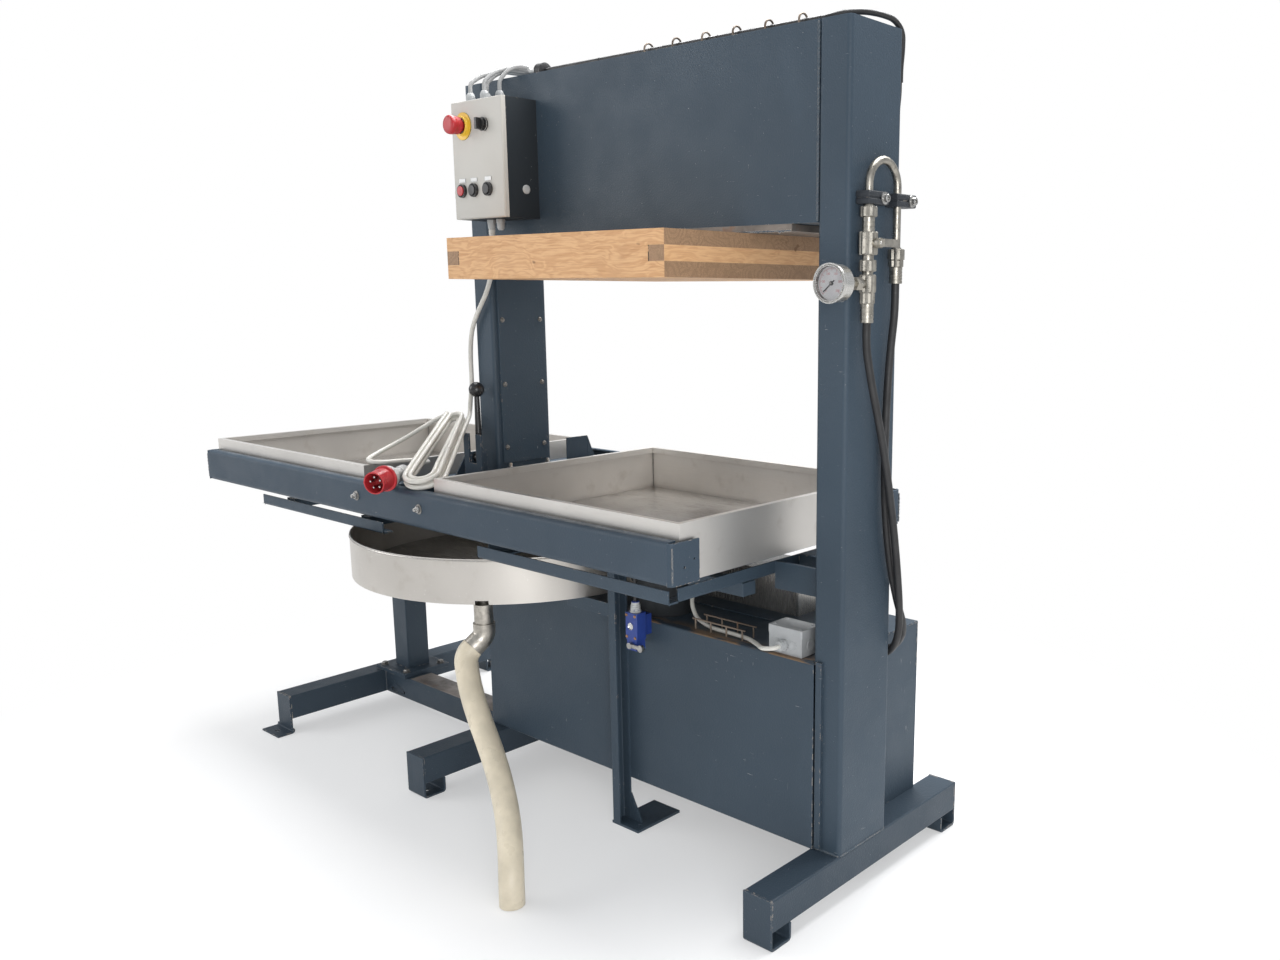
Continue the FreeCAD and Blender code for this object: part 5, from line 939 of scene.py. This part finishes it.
wear_node("cables", soft_plastic("cable sheaths", (0.38, 0.38, 0.375), 0.42, 0.3, painted_over=gathered))
tie_parts = []
for x, radius, bevel, sides in ((103.5, 18.6, 0.9, 40), (120.5, 18.4, 0.9, 40), (300, 6.9, 0.5, 30),
                                (640, 6.9, 0.5, 30)):
    tie_parts.append(turned("tie", black_plastic, (x - 1.7, -58, 1696), outward, [
        (0, 5.0), (0, radius - bevel), (0.4, radius), (3.0, radius), (3.4, radius - bevel), (3.4, 5.0)], sides))
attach(together("bundle_ties", tie_parts), "frame")
hoop_wire = bare_steel("browned hoop wire", (0.24, 0.19, 0.15), 0.6)
wear_node("cable_wires", hoop_wire)


# Junction box and deck cable
# A rounded grey plastic box with a screwed lid and knock-outs. A thick
# white cable runs from its gland through a wire basket to the cylinder.

box_grey = soft_plastic("junction box plastic", (0.34, 0.35, 0.355), 0.45, 0.3)
white_sheath = soft_plastic("white cable sheath", (0.57, 0.555, 0.51), 0.38, 0.45)
wear_node("junction_box", box_grey, 2.2)
wear_node("deck_cable", white_sheath)
details = []
for x in (798, 866):
    for y in (-72, -32):
        details.append(turned("screw", box_grey, (x, y, 554.4), upward,
                              [(0, 4.2), (1.4, 4.2), (1.8, 3.4), (1.0, 2.6), (1.0, 0)], 20))
for x in (812, 852):
    details.append(turned("knockout", box_grey, (x, -79.4, 520), forward,
                          [(0, 9.5), (1.5, 9.5), (1.9, 8.7), (1.2, 7.6), (1.2, 0)], 32))
details.append(turned("knockout", box_grey, (873.4, -52, 520), outward,
                      [(0, 11), (1.5, 11), (1.9, 10.2), (1.2, 9.0), (1.2, 0)], 36))
for x in (804, 860):
    details.append(turned("latch", box_grey, (x, -79.2, 547), forward,
                          [(0, 4.6), (1.6, 4.4), (2.0, 3.4), (2.0, 0)], 6, 0.5, 20))
ringed = [(0, 10.5), (5, 10.5), (5.4, 9.2)]
for k in range(4):
    ringed += [(6.2 + 2.6 * k, 9.8), (7.6 + 2.6 * k, 9.8), (8.2 + 2.6 * k, 9.0)]
ringed += [(17.4, 8.0), (17.8, 6.8)]
details.append(turned("box_gland", box_grey, (830, -80, 519), forward, ringed, 40, smooth=30))
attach(together("junction_box_details", details), "frame")


# Limit switch
# A blue position switch hangs under the rest frame. Its roller lever is
# pushed by the ram's foot and its thin cable goes up behind the bar.

switch_blue = soft_plastic("blue plastic", (0.014, 0.040, 0.215), 0.36, 0.25)
wear_node("limit_switch", switch_blue, 1.2)
wear_node("switch_lever", zinc, 0.6)
copper = plated_steel("copper screws", (0.50, 0.27, 0.15), 0.30, 0.5)
bits = []
for x in (436.0, 462.0):
    for z in (471.0, 520.0):
        bits.append(turned("screw", copper, (x, -142.7, z), forward,
                           [(0, 3.6), (1.2, 3.5), (1.9, 2.6), (1.2, 1.8), (1.2, 0)], 22))
bits.append(turned("eye", chrome, (449, -142.8, 496), forward,
                   [(0, 8.0), (1.6, 8.0), (2.0, 7.2), (0.7, 6.0), (0.7, 0)], 36))
bits.append(turned("switch_collar", zinc, (449, -128, 466.5), (0, 0, -1),
                   [(0, 15), (1.6, 15), (2.0, 14), (2.0, 9)], 36))
bits.append(turned("gland_ring", plug_grey, (449, -128, 526), upward,
                   [(0, 12.6), (4, 12.6), (4.4, 11.0), (8, 11.4), (8.4, 10.6), (12, 11.2), (12.4, 10.2), (16, 10.9),
                    (16.6, 9.6), (22, 8.8), (23.4, 7.0)], 36, smooth=30))
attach(together("switch_details", bits), "frame")


# Supply cord and plug
# A thick white cord drops from the box, is wound in a flat hank on the lock
# lever and ends, after one wide loop, in a five-pin plug on the left tray.

cord_radius = 5.5
hank_knot, hank_far = Vector((-185.0, -130.0, 897.0)), Vector((-32.0, -322.0, 797.0))
hank_along = (hank_far - hank_knot).normalized()
hank_across = Vector((0.62, 0.33, 0.0))
hank_across = (hank_across - hank_along * hank_across.dot(hank_along)).normalized()
hank_thick = hank_along.cross(hank_across).normalized()
hank_length = (hank_far - hank_knot).length
hank_slant = math.radians(3.5)
hank_sin, hank_cos = math.sin(hank_slant), math.cos(hank_slant)
first_gap, layer_pitch, layer_rise = 8.0, 11.8, 12.4
corner_pieces = 12


def hank_place(u, v, w):
    """A place in the hank: along it, across it and through its thickness."""
    return hank_knot + hank_along * u + hank_across * v + hank_thick * w


def hank_points():
    """Eight runs joined by half turns: four spiral inwards in one layer, four back out above."""
    offsets = [first_gap + abs(4 - i) / 2 * layer_pitch for i in range(8)]
    points = []
    a = (-offsets[0] * hank_sin, offsets[0] * hank_cos)
    for i, offset in enumerate(offsets):
        side = 1 if i % 2 == 0 else -1
        w = 0.0 if i < 4 else layer_rise
        w0 = 0.0 if i == 4 else w
        b = (-offset * hank_sin, -offset * hank_cos)
        if i < 7:
            u = hank_length if side > 0 else 0.0
            shift = side * (offset - offsets[i + 1]) / (2 * hank_cos)
            radius = (offset + offsets[i + 1]) / 2 + u * hank_sin
            b = (u - radius * hank_sin, shift + side * radius * hank_cos)
        for share in (0.0, 0.12, 0.3, 0.5, 0.7, 0.88)[1 if points else 0:]:
            rise = w0 + (w - w0) * min(1.0, max(0.0, (share - 0.12) / 0.76))
            points.append(hank_place(a[0] + (b[0] - a[0]) * share, a[1] + (b[1] - a[1]) * share, rise))
        if i == 7:
            points.append(hank_place(*b, w))
            return points
        start = side * (math.pi / 2 + hank_slant)
        turn = -math.pi - 2 * side * hank_slant
        wide = radius / math.cos(turn / corner_pieces / 2)
        for k in range(corner_pieces):
            angle = start + turn * (k + 0.5) / corner_pieces
            points.append(hank_place(u + wide * math.cos(angle), shift + wide * math.sin(angle), w))
        a = (u - radius * hank_sin, shift - side * radius * hank_cos)


def length_of(line):
    return sum((b - a).length for a, b in zip(line, line[1:]))


plug_back = Vector((-121.6, -318.4, 803.7))
plug_axis = Vector((0.44, -0.9, -0.09)).normalized()
winding = hank_points()
entry, entry_heading = winding[0], (winding[1] - winding[0]).normalized()
leaving, leaving_heading = winding[-1], (winding[-1] - winding[-2]).normalized()
upper_route = [(-8, -125, 1352), (-8, -125, 1318), (-24, -116, 1282), (-49, -104, 1248), (-80, -96, 1210),
               (-110, -95, 1176), (-136, -95, 1142), (-151, -95, 1107), (-157, -95, 1062), (-157, -95, 1004),
               (-157, -95, 984.7), (-174, -88.5, 954.7), (-187, -82.5, 924.7), tuple(entry - entry_heading * 28),
               tuple(entry)]
tail_route = [tuple(leaving + leaving_heading * 24), (-246, -112, 908), (-276, -122, 895), (-300, -152, 872),
              (-314, -194, 848), (-320, -240, 829), (-314, -284, 815), (-290, -314, 809.5), (-258, -318, 809),
              (-238, -294, 808), (-235, -252, 807), (-225, -223, 806.5), (-198.4, -209, 806), (-170, -219, 805.5),
              tuple(plug_back - plug_axis * 53), tuple(plug_back + plug_axis * 2)]
sheath = soft_plastic("white cord sheath", (0.57, 0.555, 0.51), 0.36, 0.5, 90.0)
upper_line = followed(upper_route)
upper_steps = even_steps(upper_line, 0.004)
upper = tube_along("supply_cord_upper", sheath, upper_steps, cord_radius, 0, sides=20)
upper_length = length_of(upper_line)
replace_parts(upper, "supply_cord")
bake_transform(upper)
at(*upper_route[0])
hank_route = [tuple(p) for p in winding] + tail_route
hank = route_curve("supply_cord_hank", sheath, hank_route, cord_radius, 6, 6)
hank_run = length_of(followed(hank_route))
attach(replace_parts(hank, "cord_hank", "cord_ends"), "table")

relief_way = even_steps(followed([(-8, -125, 1354), (-8, -125, 1340), (-8, -125, 1326)]), 0.001)
relief = tube_along("cord_strain_relief", sheath, relief_way, 6.4, 0,
                    lambda i: 1.5 - 0.075 * i + (0.0, -0.45, -0.6, -0.45)[i % 4], 24)
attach(relief, "frame")

plug_grey_body = soft_plastic("plug body plastic", (0.50, 0.50, 0.49), 0.40, 0.35)
nut_profile = [(0, 5.6), (0, 12.4), (1.2, 13.6)]
for k in range(5):
    nut_profile += [(2.6 + 3.6 * k, 14.0), (4.4 + 3.6 * k, 14.0), (5.0 + 3.6 * k, 13.2), (5.6 + 3.6 * k, 13.2)]
nut_profile += [(22.0, 13.6), (22.4, 11.4), (38, 12.5), (44, 16.0), (52, 21.0), (58, 24.6), (62, 26.0),
                (75.6, 26.0), (76.0, 24.0)]
body = turned("plug_back_shell", plug_grey_body, plug_back, plug_axis, nut_profile, 56, 0.0, 28)
ribs = []
side_way = plug_axis.orthogonal().normalized()
for k in range(16):
    angle = 2 * math.pi * k / 16
    out = side_way * math.cos(angle) + plug_axis.cross(side_way) * math.sin(angle)
    ribs.append(turned("rib", plug_grey_body, plug_back + plug_axis * 62.5 + out * 25.4, plug_axis,
                       [(0, 0.5), (1.0, 1.1), (11.4, 1.1), (12.4, 0.5)], 10))
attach(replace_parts(together("plug_grey_shell", [body] + ribs), "plug_body"), "table")
collar = turned("plug_collar", red, plug_back, plug_axis,
                [(76, 24), (76, 29.2), (76.8, 30), (81.2, 30), (82, 29.2), (82.4, 25.8), (123.2, 25.5), (124, 24.9),
                 (124, 22.9), (123.4, 22.5), (84, 22.5), (84, 0)], 64, smooth=28)
key = slab("key", red, (-2.6, 24.6, 83), (2.6, 27.3, 122), 0.8)
key.data.transform(plug_axis.to_track_quat("Z", "X").to_matrix().to_4x4())
key.data.transform(Matrix.Translation(plug_back * 0.001))
pins = []
up_way = plug_axis.cross(side_way)
for k in range(5):
    angle = math.radians(90 + 72 * k)
    centre = plug_back + plug_axis * 84 + (side_way * math.cos(angle) + up_way * math.sin(angle)) * 13
    pins.append(turned("pin", chrome, centre, plug_axis,
                       [(0, 3.0), (31, 3.0), (33.4, 2.2), (34, 1.0), (34, 0)], 24))
shroud = together("plug_red_shroud", [collar, key] + pins)
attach(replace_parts(shroud, "plug_shroud"), "table")
at(*entry)


# Studio
# The press stands on a pale floor that fades to white, under soft lights
# from above and from the front left, as it was photographed for a catalogue.

ground = Finish("pale studio floor", 0.55)
pale = ground.patches((0.3, 0.7, 0.93, 0.96), 1.4, detail=3.0)
ground.put(ground.node("CombineColor", {0: pale, 1: pale, 2: pale}).outputs[0], None,
           ground.grain(300.0), 0.0001)
spot = ground.split(ground.place)
far_x = ground.calc("POWER", ground.calc("SUBTRACT", spot["X"], 0.1), 2.0)
away = ground.calc("SQRT", ground.calc("ADD", far_x, ground.calc("POWER", spot["Y"], 2.0)))
fade = ground.between(away, 0.7, 1.8, 0.38, 1.0)
rays = ground.node("LightPath").outputs
seen = ground.calc("MAXIMUM", rays["Is Camera Ray"],
                   ground.calc("MAXIMUM", rays["Is Glossy Ray"], rays["Is Transmission Ray"]))
white = ground.node("Emission", {"Color": (1, 1, 1, 1), "Strength": 1.0})
mixed = ground.node("MixShader", {
    0: ground.times(fade, seen), 1: ground.shader.outputs[0], 2: white.outputs[0]})
ground.tree.links.new(mixed.outputs[0], ground.tree.nodes["Material Output"].inputs["Surface"])
floor = slab("studio_floor", ground.material, (-14000, -14000, -40), (14000, 14000, -0.2), 0)
floor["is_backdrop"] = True

world = bpy.data.worlds.new("studio air")
world.use_nodes = True
bpy.context.scene.world = world
air = world.node_tree


def air_node(kind, **values):
    """One node of the world, with its values."""
    made = air.nodes.new("ShaderNode" + kind)
    for key, value in values.items():
        made.inputs[key].default_value = value
    return made


air_rays = air_node("LightPath")
air_seen = air.nodes.new("ShaderNodeMath")
air_seen.operation = "MAXIMUM"
soft_air = air_node("Background", Color=(0.93, 0.96, 1.0, 1.0), Strength=0.62)
white_air = air_node("Background", Color=(1, 1, 1, 1), Strength=1.0)
air_mix = air_node("MixShader")
for source, target in ((air_rays.outputs["Is Camera Ray"], air_seen.inputs[0]),
                       (air_rays.outputs["Is Transmission Ray"], air_seen.inputs[1]),
                       (air_seen.outputs[0], air_mix.inputs[0]), (soft_air.outputs[0], air_mix.inputs[1]),
                       (white_air.outputs[0], air_mix.inputs[2]),
                       (air_mix.outputs[0], air.nodes["World Output"].inputs["Surface"])):
    air.links.new(source, target)


def soft_light(name, place, aim, size, power):
    """A large soft studio light."""
    lamp = bpy.data.lights.new(name, "AREA")
    lamp.shape = "RECTANGLE"
    lamp.size, lamp.size_y = size
    lamp.energy = power
    made = stand(name, lamp)
    made.location = place
    made.rotation_euler = (Vector(aim) - Vector(place)).to_track_quat("-Z", "Y").to_euler()


soft_light("overhead", (0.2, 0.9, 3.4), (0.2, 0.0, 0.6), (3.4, 2.0), 230)
soft_light("front left", (-2.9, -2.6, 2.2), (0.1, 0.0, 0.8), (2.2, 2.0), 42)
soft_light("right side", (3.5, -2.6, 1.3), (0.0, 0.0, 0.8), (1.6, 2.0), 62)

camera = bpy.data.cameras.new("camera")
camera.lens = 31.017
camera.sensor_width = 36.0
camera.shift_x = -0.10722
camera.shift_y = 0.01738
eye = stand("camera", camera)
eye.location = (2.16536, -1.73150, 1.21456)
eye.rotation_euler = (math.radians(79.214), math.radians(-0.182), math.radians(39.405))
bpy.context.scene.camera = eye
bpy.context.scene.view_settings.view_transform = "Standard"

low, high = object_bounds()
{"cad": [list(cad_low), list(cad_high)], "scene": [list(low), list(high)]}
